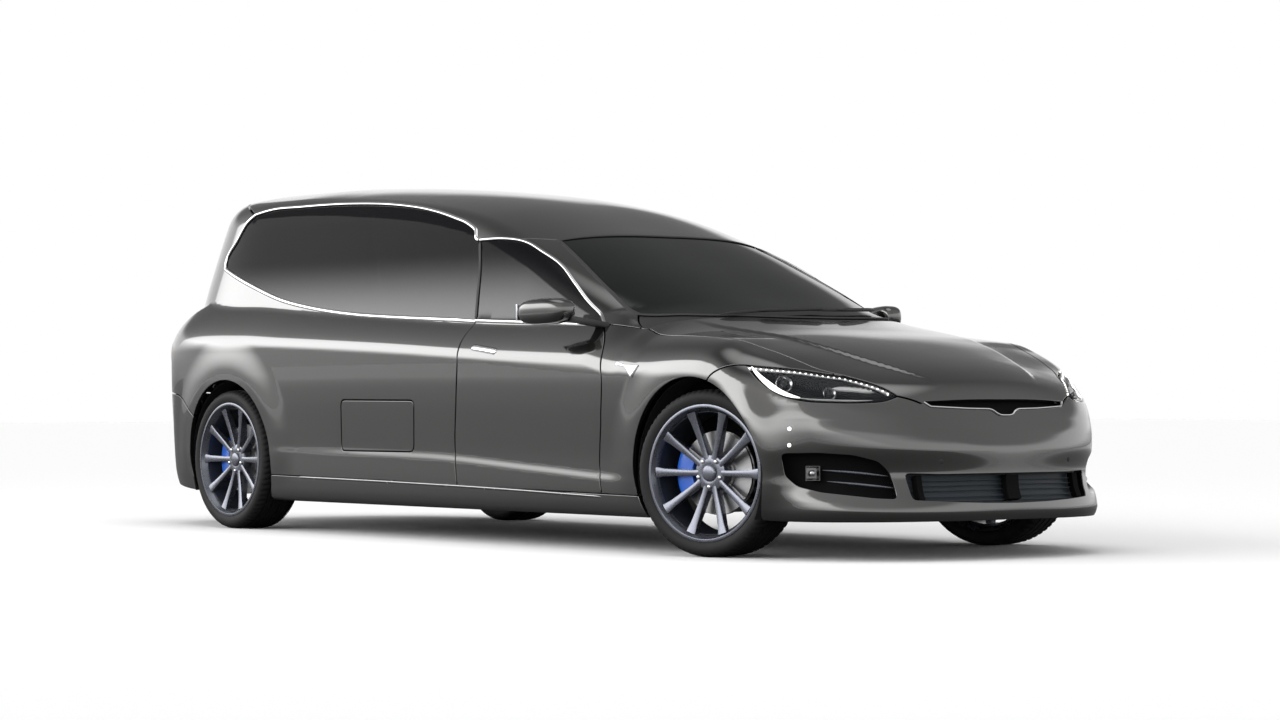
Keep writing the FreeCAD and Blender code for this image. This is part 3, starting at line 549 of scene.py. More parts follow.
def skin_panel(outline, chart, holes=(), gap=0.007, thickness=0.02, roll=0.003, step=0.022, offset=0.0):
    """A panel of the skin. The outline and holes are flat lines of the chart on the middle of the
    shut lines; the panel stops half a gap short of them, rolled edge included."""
    outer = inset(outline, gap / 2 + roll)
    cut = [inset(ring, -(gap / 2 + roll)) for ring in holes]
    flat, faces = lattice(outer, cut, step)
    points, normals = on_body(flat, chart, offset)
    one, two = points[faces[:, 1]] - points[faces[:, 0]], points[faces[:, 2]] - points[faces[:, 0]]
    if np.sum(np.cross(one, two) * normals[faces[:, 0]]) < 0:
        faces = faces[:, ::-1]
    return shell(points, normals, faces, thickness, roll)

# %% [markdown]
# ## Looks
# Every finish is a small procedural one: sums of noise and bands on the piece's own coordinates that
# drive a colour, a roughness or a bump. A picture would need a flat map of each piece, and this doesn't.
# A wrapped socket lets a finish be written like arithmetic.

# %% Finishes as arithmetic
class Value:
    """A number inside a material, with sums, differences and products written as usual."""

    def __init__(self, look, socket):
        self.look, self.socket = look, socket

    def math(self, operation, *terms):
        """A sum on numbers and values, made in this value's material."""
        return self.look.node("Math", {"operation": operation}, list(terms))

    def __add__(self, other):
        return self.math("ADD", self, other)

    def __mul__(self, other):
        return self.math("MULTIPLY", self, other)

    def __sub__(self, other):
        return self.math("SUBTRACT", self, other)

    def __rsub__(self, other):
        return self.math("SUBTRACT", other, self)

    __radd__, __rmul__ = __add__, __mul__

    def sine(self):
        """The sine of an angle in radians."""
        return self.math("SINE", self)


class Tree:
    """A node tree that values are made in."""

    def __init__(self, tree):
        self.tree = tree

    def node(self, kind, settings, inputs, output=0):
        """A node of a type with its settings and inputs, by number or name; gives one output."""
        made = self.tree.nodes.new("ShaderNode" + kind)
        for key, value in settings.items():
            setattr(made, key, value)
        for key, value in enumerate(inputs) if isinstance(inputs, list) else inputs.items():
            if isinstance(value, Value):
                self.tree.links.new(value.socket, made.inputs[key])
            else:
                made.inputs[key].default_value = value
        return Value(self, made.outputs[output])

    def ease(self, value, low, high):
        """From 0 at low to 1 at high with level ends."""
        return self.node("MapRange", {"interpolation_type": "SMOOTHSTEP"},
                         {"Value": value, "From Min": low, "From Max": high})

    def plainly_seen(self):
        """1 along rays from the camera, glass or no glass, and 0 for light and reflections."""
        direct = self.node("LightPath", {}, {}, output="Is Camera Ray")
        return direct + self.node("LightPath", {}, {}, output="Is Transmission Ray")


class Look(Tree):
    """A material and its node tree."""

    def __init__(self, name, rough=0.5, metal=0.0, coat=0.0, alpha=1.0):
        self.material = bpy.data.materials.new(name)
        self.material.use_nodes = True
        super().__init__(self.material.node_tree)
        self.shader = self.tree.nodes["Principled BSDF"]
        self.set("Base Color", (*grey(0.5), 1))
        for key, value in (("Roughness", rough), ("Metallic", metal), ("Coat Weight", coat),
                           ("Alpha", alpha)):
            self.set(key, value)
        self.set("Coat Roughness", 0.03)

    def set(self, key, value):
        """Sets a shader input to a constant or links it to a value."""
        if isinstance(value, Value):
            self.tree.links.new(value.socket, self.shader.inputs[key])
        else:
            self.shader.inputs[key].default_value = value
        return self

    def place(self, scale=(1, 1, 1)):
        """The piece's own coordinates, scaled."""
        own = self.node("TexCoord", {}, {}, output="Object")
        return self.node("Mapping", {}, {"Vector": own, "Scale": scale})

    def axis(self, number):
        """One of the piece's own coordinates."""
        return self.node("SeparateXYZ", {}, [self.place()], output=number)

    def noise(self, scale, detail=3.0, stretch=(1, 1, 1)):
        """Cloudy noise, so many lumps a metre."""
        return self.node("TexNoise", {}, {"Vector": self.place(stretch), "Scale": scale, "Detail": detail})

    def cells(self, scale):
        """Distances to scattered points, like the grain of leather."""
        return self.node("TexVoronoi", {}, {"Vector": self.place(), "Scale": scale})

    def blend(self, share, one, two):
        """From one colour to another by a share."""
        return self.node("Mix", {"data_type": "RGBA"}, {0: share, 6: (*one, 1), 7: (*two, 1)}, output=2)

    def bump(self, height, strength, distance=0.001):
        """Leans the normal as if a value were a height."""
        settings = {"Height": height, "Strength": strength, "Distance": distance}
        return self.set("Normal", self.node("Bump", {}, settings))

    def grain(self, scale, strength):
        """A bump of fine noise."""
        return self.bump(self.noise(scale), strength)

    def mottle(self, one, two, scale, rough=None, stretch=(1, 1, 1)):
        """A colour that wanders between two, and a roughness that wanders with it."""
        wander = self.noise(scale, stretch=stretch)
        self.set("Base Color", self.blend(wander, one, two))
        if rough:
            self.set("Roughness", wander * (rough[1] - rough[0]) + rough[0])
        return self


def grey(level, warm=0.0):
    """A grey, a little redder than blue if it is warm."""
    return level * (1 + warm), level, level * (1 - warm)


LOOKS = {}


def look(name, **settings):
    """A new finish, kept by its name."""
    LOOKS[name] = Look(name, **settings)
    return LOOKS[name]


def wear(name):
    """The material of a finish."""
    return LOOKS[name].material


# %% [markdown]
# The paint is a dark metal with fine flake under a clear coat. The tinted glass is a nearly opaque
# coat and not a true clear one, because it hides the load space as the real tint does.

# %% The finishes
paint = look("warm grey metallic paint", metal=0.85, coat=1.0)
flake = paint.noise(2600, 1.0)
paint.set("Base Color", paint.blend(flake, (0.018, 0.017, 0.0158), (0.029, 0.0275, 0.0255)))
paint.set("Roughness", flake * 0.08 + 0.20).set("Coat IOR", 2.0)
look("chrome", metal=1.0).mottle(grey(0.78), grey(0.86), 30, (0.06, 0.12))
look("satin black plastic").mottle(grey(0.012), grey(0.02), 240, (0.42, 0.55)).grain(900, 0.15)
look("gloss black", coat=0.6).mottle(grey(0.006), grey(0.012), 40, (0.12, 0.2))
look("deep black").mottle(grey(0.004), grey(0.007), 60, (0.55, 0.7))
LOOKS["deep black"].set("IOR", 1.15)
look("rubber").mottle(grey(0.018), grey(0.03), 160, (0.6, 0.75)).grain(700, 0.2)
look("tyre rubber").mottle(grey(0.012), grey(0.020), 60, (0.55, 0.7)).set("IOR", 1.3).grain(500, 0.15)
look("grey alloy", metal=0.75, coat=0.4).mottle((0.13, 0.136, 0.165), (0.17, 0.178, 0.21), 45, (0.24, 0.32))
look("satin trim", metal=1.0).mottle(grey(0.22), grey(0.28), 30, (0.22, 0.30))
look("bright alloy", metal=1.0).mottle((0.62, 0.63, 0.66), (0.74, 0.75, 0.78), 30, (0.18, 0.28))
# a darker copy of the grey alloy: painted shade for the rim barrel deep inside the wheel
look("dark wheel paint", coat=0.3).mottle((0.022, 0.026, 0.036), (0.032, 0.037, 0.05), 50, (0.35, 0.5))
look("blue caliper paint", coat=0.7).mottle((0.012, 0.10, 0.52), (0.020, 0.13, 0.62), 60, (0.3, 0.4))
look("cast iron", metal=0.8).mottle(grey(0.10), grey(0.16), 140, (0.45, 0.6))
look("turned iron", metal=1.0).mottle(grey(0.34), grey(0.44), 300, (0.3, 0.42), stretch=(1, 0.1, 1))
look("steel", metal=1.0).mottle(grey(0.42), grey(0.52), 90, (0.3, 0.4))
look("cast aluminium", metal=0.9).mottle(grey(0.36), grey(0.46), 110, (0.4, 0.55)).grain(260, 0.3)
look("underbody shield").mottle(grey(0.014), grey(0.024), 30, (0.7, 0.85)).grain(140, 0.3)
look("liner felt").mottle(grey(0.006), grey(0.011), 300, (0.9, 0.98)).grain(600, 0.6)
look("carpet").mottle(grey(0.02), grey(0.045), 420, (0.9, 1.0)).grain(800, 0.8)
look("radiator").mottle((0.022, 0.032, 0.042), (0.035, 0.048, 0.06), 14, (0.5, 0.6))
look("lamp white", rough=0.4).set("Emission Color", (1, 0.98, 0.95, 1)).set("Emission Strength", 2.2)
look("satin reflector", metal=1.0).mottle(grey(0.5), grey(0.62), 60, (0.1, 0.2))
look("lens red", coat=1.0).mottle((0.24, 0.006, 0.006), (0.34, 0.012, 0.01), 20, (0.1, 0.16))
look("door lining").mottle(grey(0.024), grey(0.034), 90, (0.6, 0.7)).grain(500, 0.3)
look("headliner").mottle(grey(0.30, 0.03), grey(0.36, 0.03), 300, (0.9, 1.0))

look("clear lens", alpha=0.16, rough=0.02).mottle((0.02, 0.025, 0.03), (0.026, 0.032, 0.04), 4)
look("screen glass", alpha=0.86, rough=0.02).mottle((0.006, 0.007, 0.007), (0.009, 0.010, 0.010), 4)
LOOKS["screen glass"].set("IOR", 1.38)
side_glass = look("side glass", alpha=0.93, rough=0.02)
side_glass.mottle((0.006, 0.006, 0.007), (0.009, 0.009, 0.010), 4).set("IOR", 1.08)
# painted reflection: the clear coat fades out towards the top, so the flat glass reflects more low down, as
# curved glass would
side_glass.set("Coat Weight", side_glass.ease(side_glass.axis(2), 1.36, 1.02) * 0.85)

leather = look("black leather", coat=0.1).mottle(grey(0.020), grey(0.032), 26, (0.42, 0.55))
leather.bump(leather.cells(380) + leather.noise(60) * 0.5, 0.25, 0.0006)
wood = look("dark walnut", coat=0.6)
rings = (wood.axis(1) * 160 + wood.noise(3, 4, (0.25, 1, 1)) * 26).sine() * 0.5 + 0.5
streaks = rings * 0.6 + wood.noise(60, 5, (0.05, 1, 1)) * 0.4
wood.set("Base Color", wood.blend(streaks, (0.030, 0.013, 0.006), (0.085, 0.040, 0.018)))
wood.set("Roughness", rings * 0.1 + 0.28)
print(len(LOOKS), "finishes")

# %% [markdown]
# ## Studio
# To the eye the floor and the backdrop are white. In the paint's reflections and as light, the floor is
# grey and darkens towards the car, a painted shade, and the sky is a dim studio with one long soft box
# low along the right side, a thin haze round the other sides and a glow overhead. One soft light hangs
# above the car. The shoulders pick up the soft box and the flanks the floor.

# %% Floor, sky, light and camera
FLOOR_HALF = 60
# brightness of the long soft box low along the right side, of the sky above it, of the haze
# around the other sides, of the sky ahead, of the rest, and of the glow overhead
SKY_BOX, SKY_SIDE, SKY_HAZE, SKY_FRONT, SKY_DARK, SKY_TOP = 3.9, 0.6, 0.8, 0.4, 0.20, 1.3
LIGHT_PLACE, LIGHT_SIZE, LIGHT_POWER = (0, 0, 6), (7, 3), 90
LIGHT_AIM = Vector((0, 0, 0.8))
CAMERA_PLACE, CAMERA_LENS = (12.272, -9.443, 0.6745), 89.78
CAMERA_YAW, CAMERA_PITCH = 2.4709, 0.0113


def lay_floor(scene):
    """White to the eye, and a grey that eases up with the square of the way aside for all the rest: painted
    shade, darkest beside the car.
    """
    half = FLOOR_HALF
    mesh = bpy.data.meshes.new("studio floor")
    mesh.from_pydata([(-half, -half, 0), (half, -half, 0), (half, half, 0), (-half, half, 0)], [],
                     [(0, 1, 2, 3)])
    ground = bpy.data.objects.new("studio floor", mesh)
    scene.collection.objects.link(ground)
    floor = look("floor", rough=0.6)
    aside = floor.axis(1) * floor.axis(1)
    # painted shade: the floor's grey is darkest beside the car and eases up far aside
    floor.set("Base Color", floor.blend(floor.ease(aside, 2, 260), grey(0.08), grey(0.62)))
    white = floor.node("BsdfDiffuse", {}, {"Color": (*grey(0.99), 1)})
    shade = Value(floor, floor.shader.outputs[0])
    mixed = floor.node("MixShader", {}, [floor.plainly_seen(), shade, white])
    floor.tree.links.new(mixed.socket, floor.tree.nodes["Material Output"].inputs[0])
    mesh.materials.append(floor.material)


def paint_sky(scene):
    """White to the eye. For all the rest, bands by height and side are added up."""
    world = bpy.data.worlds.new("studio sky")
    scene.world = world
    world.use_nodes = True
    sky = Tree(world.node_tree)
    way = sky.node("TexCoord", {}, {}, output="Generated")
    x, y, z = [sky.node("SeparateXYZ", {}, [way], output=axis) for axis in range(3)]
    side = sky.ease(y * -1, -0.18, 0.50) * (1 - sky.ease(x, -0.2, 0.8) * 0.72)
    box = sky.ease(z, 0.02, 0.24) * (1 - sky.ease(z - side * 0.6, -0.07, -0.01)) * SKY_BOX
    low = 1 - sky.ease(z, 0.62, 0.85)
    haze = sky.ease(z, -0.03, 0.075) * (1 - sky.ease(z, 0.20, 0.31))
    around = side * (box + low * SKY_SIDE) + (1 - side) * haze * SKY_HAZE
    around = around + sky.ease(x, -0.3, 0.6) * SKY_FRONT + SKY_DARK
    around = around + sky.ease(z, 0.85, 0.97) * SKY_TOP
    seen = sky.plainly_seen()
    level = around * (1 - seen) + seen
    sky.tree.links.new(level.socket, world.node_tree.nodes["Background"].inputs["Color"])


def hang_light(scene):
    """One soft light that only lights: neither the camera nor the paint sees it."""
    data = bpy.data.lights.new("top soft box", "AREA")
    data.shape, data.energy = "RECTANGLE", LIGHT_POWER
    data.size, data.size_y = LIGHT_SIZE
    lamp = bpy.data.objects.new("top soft box", data)
    scene.collection.objects.link(lamp)
    lamp.location = LIGHT_PLACE
    lamp.rotation_mode = "QUATERNION"
    lamp.rotation_quaternion = (LIGHT_AIM - lamp.location).to_track_quat("-Z", "Y")
    lamp.visible_camera = lamp.visible_glossy = False


def set_camera(scene):
    """The camera, level but for a slight pitch."""
    data = bpy.data.cameras.new("camera")
    data.sensor_width, data.lens, data.clip_end = 36, CAMERA_LENS, 300
    camera = bpy.data.objects.new("camera", data)
    scene.collection.objects.link(camera)
    camera.location = CAMERA_PLACE
    camera.rotation_euler = (np.pi / 2 + CAMERA_PITCH, 0, CAMERA_YAW - np.pi / 2)
    scene.camera = camera


studio = bpy.context.scene
studio.view_settings.view_transform = "Standard"
for furnish in (lay_floor, paint_sky, hang_light, set_camera):
    furnish(studio)
print("camera at", CAMERA_PLACE)

# %% [markdown]
# ## Shut lines
# Shut lines are the gaps round doors, lids and lamps. They could be grooves in one skin, but then
# nothing would open. They are drawn on the left of the car, on the skin itself, in the view that shows
# each best, and neighbouring panels share them.

# %% Lines on the skin
DOOR_FRONT_X = -0.668  # at the sill
SILL_TOP = seam("profile", [(-0.41, 0.247), (DOOR_FRONT_X, 0.250), (-1.421, 0.258), (-1.757, 0.262)])
SILL_TOP_REAR = seam("profile", [(-1.757, 0.262), (-2.225, 0.271), (-3.131, 0.279), (-3.367, 0.281)])
DOOR_REAR = seam("profile", [
    (-1.757, 0.262), (-1.772, 0.43), (-1.741, 0.661), (-1.726, 0.882), (-1.742, 0.961), (-1.735, 1.026)])
DOOR_FRONT = seam("profile", [
    (DOOR_FRONT_X, 0.250), (-0.683, 0.357), (-0.657, 0.575), (-0.647, 0.792), (-0.702, 0.915),
    (-0.786, 0.991)])
BELT_DOOR = seam("profile", [(-0.786, 0.991), (-1.25, 1.008), (-1.735, 1.026)])
BELT_REAR = seam("profile", [
    (-1.735, 1.026), (-2.026, 1.041), (-2.365, 1.056), (-2.81, 1.082), (-3.187, 1.120), (-3.487, 1.168),
    (-3.756, 1.236), (-3.952, 1.292), (-4.130, 1.347)])
GLASS_REAR = seam("profile", [
    (-4.130, 1.347), (-4.140, 1.372), (-4.062, 1.480), (-3.985, 1.575), (-3.93, 1.612)])
GLASS_TOP = seam("profile", [
    (-3.93, 1.612), (-3.80, 1.632), (-3.521, 1.636), (-3.077, 1.633), (-2.636, 1.606), (-2.372, 1.572),
    (-2.125, 1.521), (-1.97, 1.478), (-1.905, 1.448), (-1.868, 1.404), (-1.838, 1.398)], step=0.012)
DOOR_GLASS_TOP = seam("profile", [
    (-1.838, 1.398), (-1.56, 1.388), (-1.40, 1.333), (-1.232, 1.262), (-1.091, 1.177), (-0.951, 1.084),
    (-0.786, 0.991)])
GLASS_SPLIT = seam("profile", [(-1.735, 1.026), (-1.758, 1.125), (-1.790, 1.265), (-1.838, 1.398)])
HEADER = seam("plan", [(-1.38, 0.0), (-1.395, 0.30), (-1.45, 0.60)])
SCREEN_SIDE = seam("plan", [(-1.45, 0.60), (-1.208, 0.655), (-0.996, 0.700), (-0.822, 0.727), (-0.67, 0.742)])
SCREEN_BASE = seam("plan", [(-0.67, 0.742), (-0.48, 0.570), (-0.368, 0.300), (-0.345, 0.0)])
PILLAR_AT = nearest(DOOR_GLASS_TOP, -1.60)
PILLAR_TOP = seam("dome", [HEADER[-1], DOOR_GLASS_TOP[PILLAR_AT]], smooth=False)
ROOF_SPLIT = seam("dome", [GLASS_TOP[0], (-4.2, 0.56, 1.68), (-4.40, 0.36, 1.72)])
GATE_TOP = seam("plan", [(-4.40, 0.36), (-4.425, 0.20), (-4.43, 0.0)])
GATE_EDGE = seam("plan", [(-4.40, 0.36), (-4.43, 0.335), (-4.439, 0.20), (-4.444, 0.0)])
GATE_SIDE = seam("back", [
    (0.36, 1.705), (0.43, 1.55), (0.515, 1.26), (0.60, 1.085), (0.625, 1.03), (0.635, 0.975)])
GATE_SIDE = np.concatenate([ROOF_SPLIT[-1:], GATE_SIDE[1:]])
LAMP_INNER = seam("back", [(0.635, 0.975), (0.64, 0.90), (0.64, 0.80)])
GATE_LOW = seam("back", [(0.64, 0.80), (0.64, 0.70)])
GATE_FOOT = seam("back", [(0.64, 0.70), (0.3, 0.685), (0.0, 0.68)])
TAIL_LAMP_TOP = seam("wrap", [(-4.50, 0.80, 0.955), (-4.62, 0.77, 0.968), LAMP_INNER[0]])
TAIL_LAMP_LOW = seam("wrap", [
    LAMP_INNER[-1], (-4.66, 0.74, 0.815), (-4.54, 0.80, 0.86), (-4.50, 0.80, 0.955)])
BUMPER_REAR_TOP = seam("wrap", [GATE_LOW[-1], (-4.5, 0.80, 0.692), (-4.3, 0.93, 0.672), (-4.093, 0.96, 0.57)])
BONNET_REAR = seam("plan", [(-0.29, 0.0), (-0.32, 0.30), (-0.43, 0.59), (-0.535, 0.800)])
BONNET_SIDE = seam("plan", [
    (-0.535, 0.800), (-0.42, 0.818), (-0.20, 0.822), (0.04, 0.810), (0.184, 0.770), (0.369, 0.718),
    (0.45, 0.690), (0.54, 0.628)])
BONNET_LAMP = seam("plan", [(0.54, 0.628), (0.64, 0.560), (0.728, 0.500)])
BONNET_TIP = seam("plan", [(0.728, 0.500), (0.785, 0.405)])
BONNET_NOSE = seam("nose", [(0.785, 0.405, 0.648), (0.822, 0.2, 0.655), (0.832, 0.0, 0.656)])
SLOT_FOOT = seam("nose", [
    (0.785, 0.405, 0.648), (0.80, 0.38, 0.630), (0.835, 0.20, 0.622), (0.84, 0.085, 0.620),
    (0.845, 0.068, 0.616), (0.85, 0.048, 0.602), (0.855, 0.036, 0.596), (0.858, 0.018, 0.594),
    (0.858, 0.0, 0.594)], smooth=False)
LAMP_TOP = seam("nose", [
    (0.262, 0.909, 0.803), (0.327, 0.868, 0.796), (0.425, 0.763, 0.784), (0.50, 0.685, 0.768),
    BONNET_SIDE[-1]])
LAMP_LOW = seam("nose", [
    (0.262, 0.909, 0.803), (0.315, 0.912, 0.758), (0.357, 0.902, 0.724), (0.398, 0.886, 0.694),
    (0.440, 0.866, 0.673), (0.485, 0.839, 0.660), (0.530, 0.805, 0.652), (0.578, 0.761, 0.649),
    (0.634, 0.696, 0.647), (0.688, 0.615, 0.649), (0.713, 0.560, 0.654), BONNET_LAMP[-1]])
WING_SEAM = seam("wrap", [
    (0.088, 0.977, 0.735), (0.106, 0.977, 0.757), (0.16, 0.959, 0.789), (0.213, 0.933, 0.803),
    (0.262, 0.909, 0.803)])
DOOR_FOOT = seam("roll", [DOOR_FRONT[-1], (-0.68, 0.835, 0.985), BONNET_SIDE[0]])
PILLAR_FOOT = seam("plan", [BONNET_SIDE[0][:2], (-0.60, 0.790), (-0.67, 0.742)])
ARCH = 0.400


def arch(axle, start, end, step=0.02):
    """The wheel arch from one angle to another in degrees, measured from ahead over the top."""
    angle = np.radians(np.linspace(start, end, max(2, int(abs(end - start) * ARCH * np.pi / 180 / step))))
    return on_body(np.stack([axle + ARCH * np.cos(angle), AXLE_Z + ARCH * np.sin(angle)], 1), "profile")[0]


def arch_angle(point, axle):
    """The angle of a point about a hub in degrees, as for an arch."""
    return float(np.degrees(np.arctan2(point[2] - AXLE_Z, point[0] - axle)))


FRONT_AXLE = -DATUM_AHEAD
SILL_ANGLE = arch_angle(SILL_TOP[0], FRONT_AXLE) % 360
WING_ANGLE = arch_angle(WING_SEAM[0], FRONT_AXLE)
BUMPER_ANGLE = arch_angle(BUMPER_REAR_TOP[-1], REAR_AXLE)
print("front arch from", round(WING_ANGLE), "to", round(SILL_ANGLE), "degrees")

# %% [markdown]
# ## Body panels
# Each panel is one outline of those lines in a chart that faces it, cut out of the skin. Panels cut
# from one finished surface flow into each other, which patches made one by one rarely do.

# %% Cut the panels
FINE = 0.013


def both(parts):
    """A left-hand shape with its mirror image."""
    return join([parts, mirror_groups(*parts)])


def on_side(shape, side):
    """A left-hand shape as it is, or mirrored for the right."""
    return shape if side == LEFT else mirror_groups(*shape)


def panel(name, shape, body="body", finish="warm grey metallic paint", replaces=()):
    """A piece from (points, groups) in its finish, on the body that carries it."""
    thing = make_mesh(name, *shape)
    thing.data.materials.append(wear(finish))
    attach(thing, body)
    if replaces:
        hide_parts(*replaces)
    print(f"{name}: {len(thing.data.vertices)} points")
    return thing


def whole(chart, *seams):
    """A closed outline across the middle from lines on the left, run from middle to middle."""
    left = [flat_of(line, chart) for line in seams]
    right = [flat_of(mirrored(line), chart) for line in reversed(seams)]
    return loop(*left, *right)


DOOR_AT = nearest(SILL_TOP, DOOR_FRONT_X)
wing_line = outline("roll", DOOR_FRONT, DOOR_FOOT, BONNET_SIDE, LAMP_TOP[::-1], WING_SEAM[::-1],
                    arch(FRONT_AXLE, WING_ANGLE, SILL_ANGLE), SILL_TOP[:DOOR_AT + 1])
panel("front wings", both(skin_panel(wing_line, "roll", step=FINE, gap=0.005)), replaces=["front_wings"])
door_line = outline("roll", SILL_TOP[DOOR_AT:][::-1], DOOR_FRONT, BELT_DOOR, DOOR_REAR[::-1])
door = skin_panel(door_line, "roll", step=FINE)
for side_name, side in SIDES.items():
    panel(f"{side_name} door skin", on_side(door, side), f"door_{side_name}")

quarter_line = outline("roll", DOOR_REAR, BELT_REAR, GLASS_REAR, ROOF_SPLIT, GATE_SIDE, TAIL_LAMP_TOP[::-1],
                       TAIL_LAMP_LOW[::-1], GATE_LOW, BUMPER_REAR_TOP,
                       arch(REAR_AXLE, BUMPER_ANGLE, arch_angle(SILL_TOP_REAR[-1], REAR_AXLE)),
                       SILL_TOP_REAR[::-1])
FLAP = [(-2.728, 0.410), (-2.708, 0.656), (-2.084, 0.654), (-2.111, 0.412)]


def rounded(corners, radius, count=5):
    """A closed flat polygon with each corner replaced by a parabola that starts and ends a radius away
    from it and leans towards it."""
    corners = np.asarray(corners, float)
    before, after = np.roll(corners, 1, axis=0), np.roll(corners, -1, axis=0)
    unit = [(d - corners) / np.linalg.norm(d - corners, axis=1, keepdims=True) for d in (before, after)]
    t = np.linspace(0, 1, count)[None, :, None]
    start, end = (corners + u * radius for u in unit)
    arcs = start[:, None] * (1 - t) ** 2 + corners[:, None] * 2 * t * (1 - t) + end[:, None] * t ** 2
    return arcs.reshape(-1, 2)


def filled(ring, step):
    """A closed flat line with points added until no edge is longer than step."""
    ends = np.roll(ring, -1, axis=0)
    counts = np.maximum(1, np.ceil(np.linalg.norm(ends - ring, axis=1) / step)).astype(int)
    return np.concatenate([a + (b - a) * np.arange(n)[:, None] / n for a, b, n in zip(ring, ends, counts)])


flap_line = on_body(filled(rounded(FLAP, 0.03), 0.02), "profile")[0]
flap_flat = flat_of(flap_line, "roll")
panel("left body side", skin_panel(quarter_line, "roll", step=FINE), replaces=["side_panels"])
panel("right body side", mirror_groups(*skin_panel(quarter_line, "roll", [flap_flat], step=FINE, gap=0.006)))
panel("side hatch skin", mirror_groups(*skin_panel(flap_flat, "roll", step=FINE, gap=0.006)), "side_hatch",
      replaces=["side_hatch"])

sill_low = (arch_angle((REAR_AXLE + 0.345, 0, 0.152), REAR_AXLE),
            arch_angle((FRONT_AXLE - 0.345, 0, 0.152), FRONT_AXLE) % 360)
sill_foot = seam("profile", [
    arch(FRONT_AXLE, sill_low[1], sill_low[1])[0], arch(REAR_AXLE, sill_low[0], sill_low[0])[0]])
sill = skin_panel(outline("roll", SILL_TOP, SILL_TOP_REAR,
                          arch(REAR_AXLE, arch_angle(SILL_TOP_REAR[-1], REAR_AXLE), sill_low[0]),
                          sill_foot[::-1], arch(FRONT_AXLE, sill_low[1], SILL_ANGLE)), "roll", step=0.016,
                  gap=0.004)
panel("sills", both(sill), replaces=["sills"])

# %% [markdown]
# ## Roof, bonnet, bumpers and glass
# The pieces that cross the middle are drawn with their left-hand lines and the same lines mirrored.

# %% Panels across the middle
roof_seams = [HEADER, PILLAR_TOP, DOOR_GLASS_TOP[:PILLAR_AT + 1][::-1], GLASS_TOP[::-1], ROOF_SPLIT, GATE_TOP]
panel("roof", skin_panel(whole("dome", *roof_seams), "dome", gap=0.004, step=0.016), replaces=["roof"])
pillar = skin_panel(outline("dome", SCREEN_SIDE[::-1], PILLAR_TOP, DOOR_GLASS_TOP[PILLAR_AT:], DOOR_FOOT,
                            PILLAR_FOOT), "dome", gap=0.003, step=FINE)
panel("windscreen pillars", both(pillar), replaces=["cabin_pillars"])
panel("bonnet skin", skin_panel(whole("lid", BONNET_REAR, BONNET_SIDE, BONNET_LAMP, BONNET_TIP, BONNET_NOSE),
                                "lid", step=0.016), "bonnet", replaces=["bonnet"])

GATE_WINDOW = on_body(filled(rounded([(-0.37, 1.62), (0.37, 1.62), (0.43, 1.19), (-0.43, 1.19)], 0.06), 0.02),
                      "back")[0]
gate_line = whole("gate", GATE_EDGE[::-1], GATE_SIDE, LAMP_INNER, GATE_LOW, GATE_FOOT)
panel("tailgate skin", skin_panel(gate_line, "gate", [flat_of(GATE_WINDOW, "gate")], step=0.016), "tailgate",
      replaces=["tailgate"])

SCUTTLE = whole("plan", SCREEN_BASE[::-1], PILLAR_FOOT[::-1], BONNET_REAR[::-1])
panel("scuttle cowl", skin_panel(SCUTTLE, "plan", gap=0.006, offset=-0.006, step=0.014),
      finish="satin black plastic", replaces=["scuttle"])

# %% [markdown]
# The front bumper carries the lower intake, two side intakes with a sloping post between, and the slot
# under the bonnet's lip with its shallow notch. The rear bumper is one band round the tail.

# %% Bumpers
FOG_INTAKE = [
    (0.448, 0.880, 0.437), (0.571, 0.794, 0.440), (0.677, 0.696, 0.431), (0.735, 0.615, 0.406),
    (0.757, 0.578, 0.366), (0.775, 0.565, 0.312), (0.797, 0.565, 0.258), (0.750, 0.640, 0.262),
    (0.680, 0.712, 0.273), (0.587, 0.788, 0.285), (0.500, 0.840, 0.308), (0.457, 0.868, 0.350)]
LOWER_INTAKE = [
    (0.793, 0.516, 0.356), (0.851, 0.373, 0.352), (0.893, 0.15, 0.353), (0.899, 0.0, 0.353),
    (0.893, -0.15, 0.353), (0.851, -0.373, 0.352), (0.793, -0.516, 0.356), (0.828, -0.503, 0.254),
    (0.887, -0.34, 0.246), (0.914, -0.178, 0.240), (0.922, 0.0, 0.237), (0.914, 0.178, 0.240),
    (0.887, 0.34, 0.246), (0.828, 0.503, 0.254)]


def opening(points, radius=0.018):
    """A closed flat line round the nose through corners with small rounds."""
    return filled(rounded(flat_of(points, "nose"), radius, 4), 0.015)


fog_left = opening(FOG_INTAKE)
fog_right = (fog_left * (-1, 1))[::-1]
lower_intake = opening(LOWER_INTAKE)
BUMPER_FOOT_ANGLE = arch_angle((0.312, 0, 0.168), FRONT_AXLE)
front_arch = arch(FRONT_AXLE, BUMPER_FOOT_ANGLE, WING_ANGLE)
BUMPER_FOOT = seam("nose", [
    front_arch[0], (0.498, 0.826, 0.156), (0.70, 0.68, 0.157), (0.85, 0.40, 0.160), (0.905, 0.0, 0.162)])
bumper_line = whole("nose", SLOT_FOOT[::-1], BONNET_TIP[::-1], LAMP_LOW[::-1], WING_SEAM[::-1],
                    front_arch[::-1], BUMPER_FOOT)
panel("front bumper skin", skin_panel(bumper_line, "nose", [fog_left, fog_right, lower_intake], gap=0.004,
                                      step=0.015, thickness=0.028), replaces=["front_bumper"])
rear_arch = arch(REAR_AXLE, BUMPER_ANGLE, 205)
BUMPER_TAIL_FOOT = seam("tail", [
    rear_arch[-1], (-4.42, 0.83, 0.205), (-4.70, 0.60, 0.25), (-4.80, 0.0, 0.27)])
rear_line = whole("tail", GATE_FOOT[::-1], BUMPER_REAR_TOP, rear_arch, BUMPER_TAIL_FOOT)
panel("rear bumper skin", skin_panel(rear_line, "tail", gap=0.004, step=0.018), replaces=["rear_bumper"])

# %% [markdown]
# Glass sits a few millimetres inside the skin's line. Side glass is nearly black, and the windscreen
# lets a little of the cabin show.

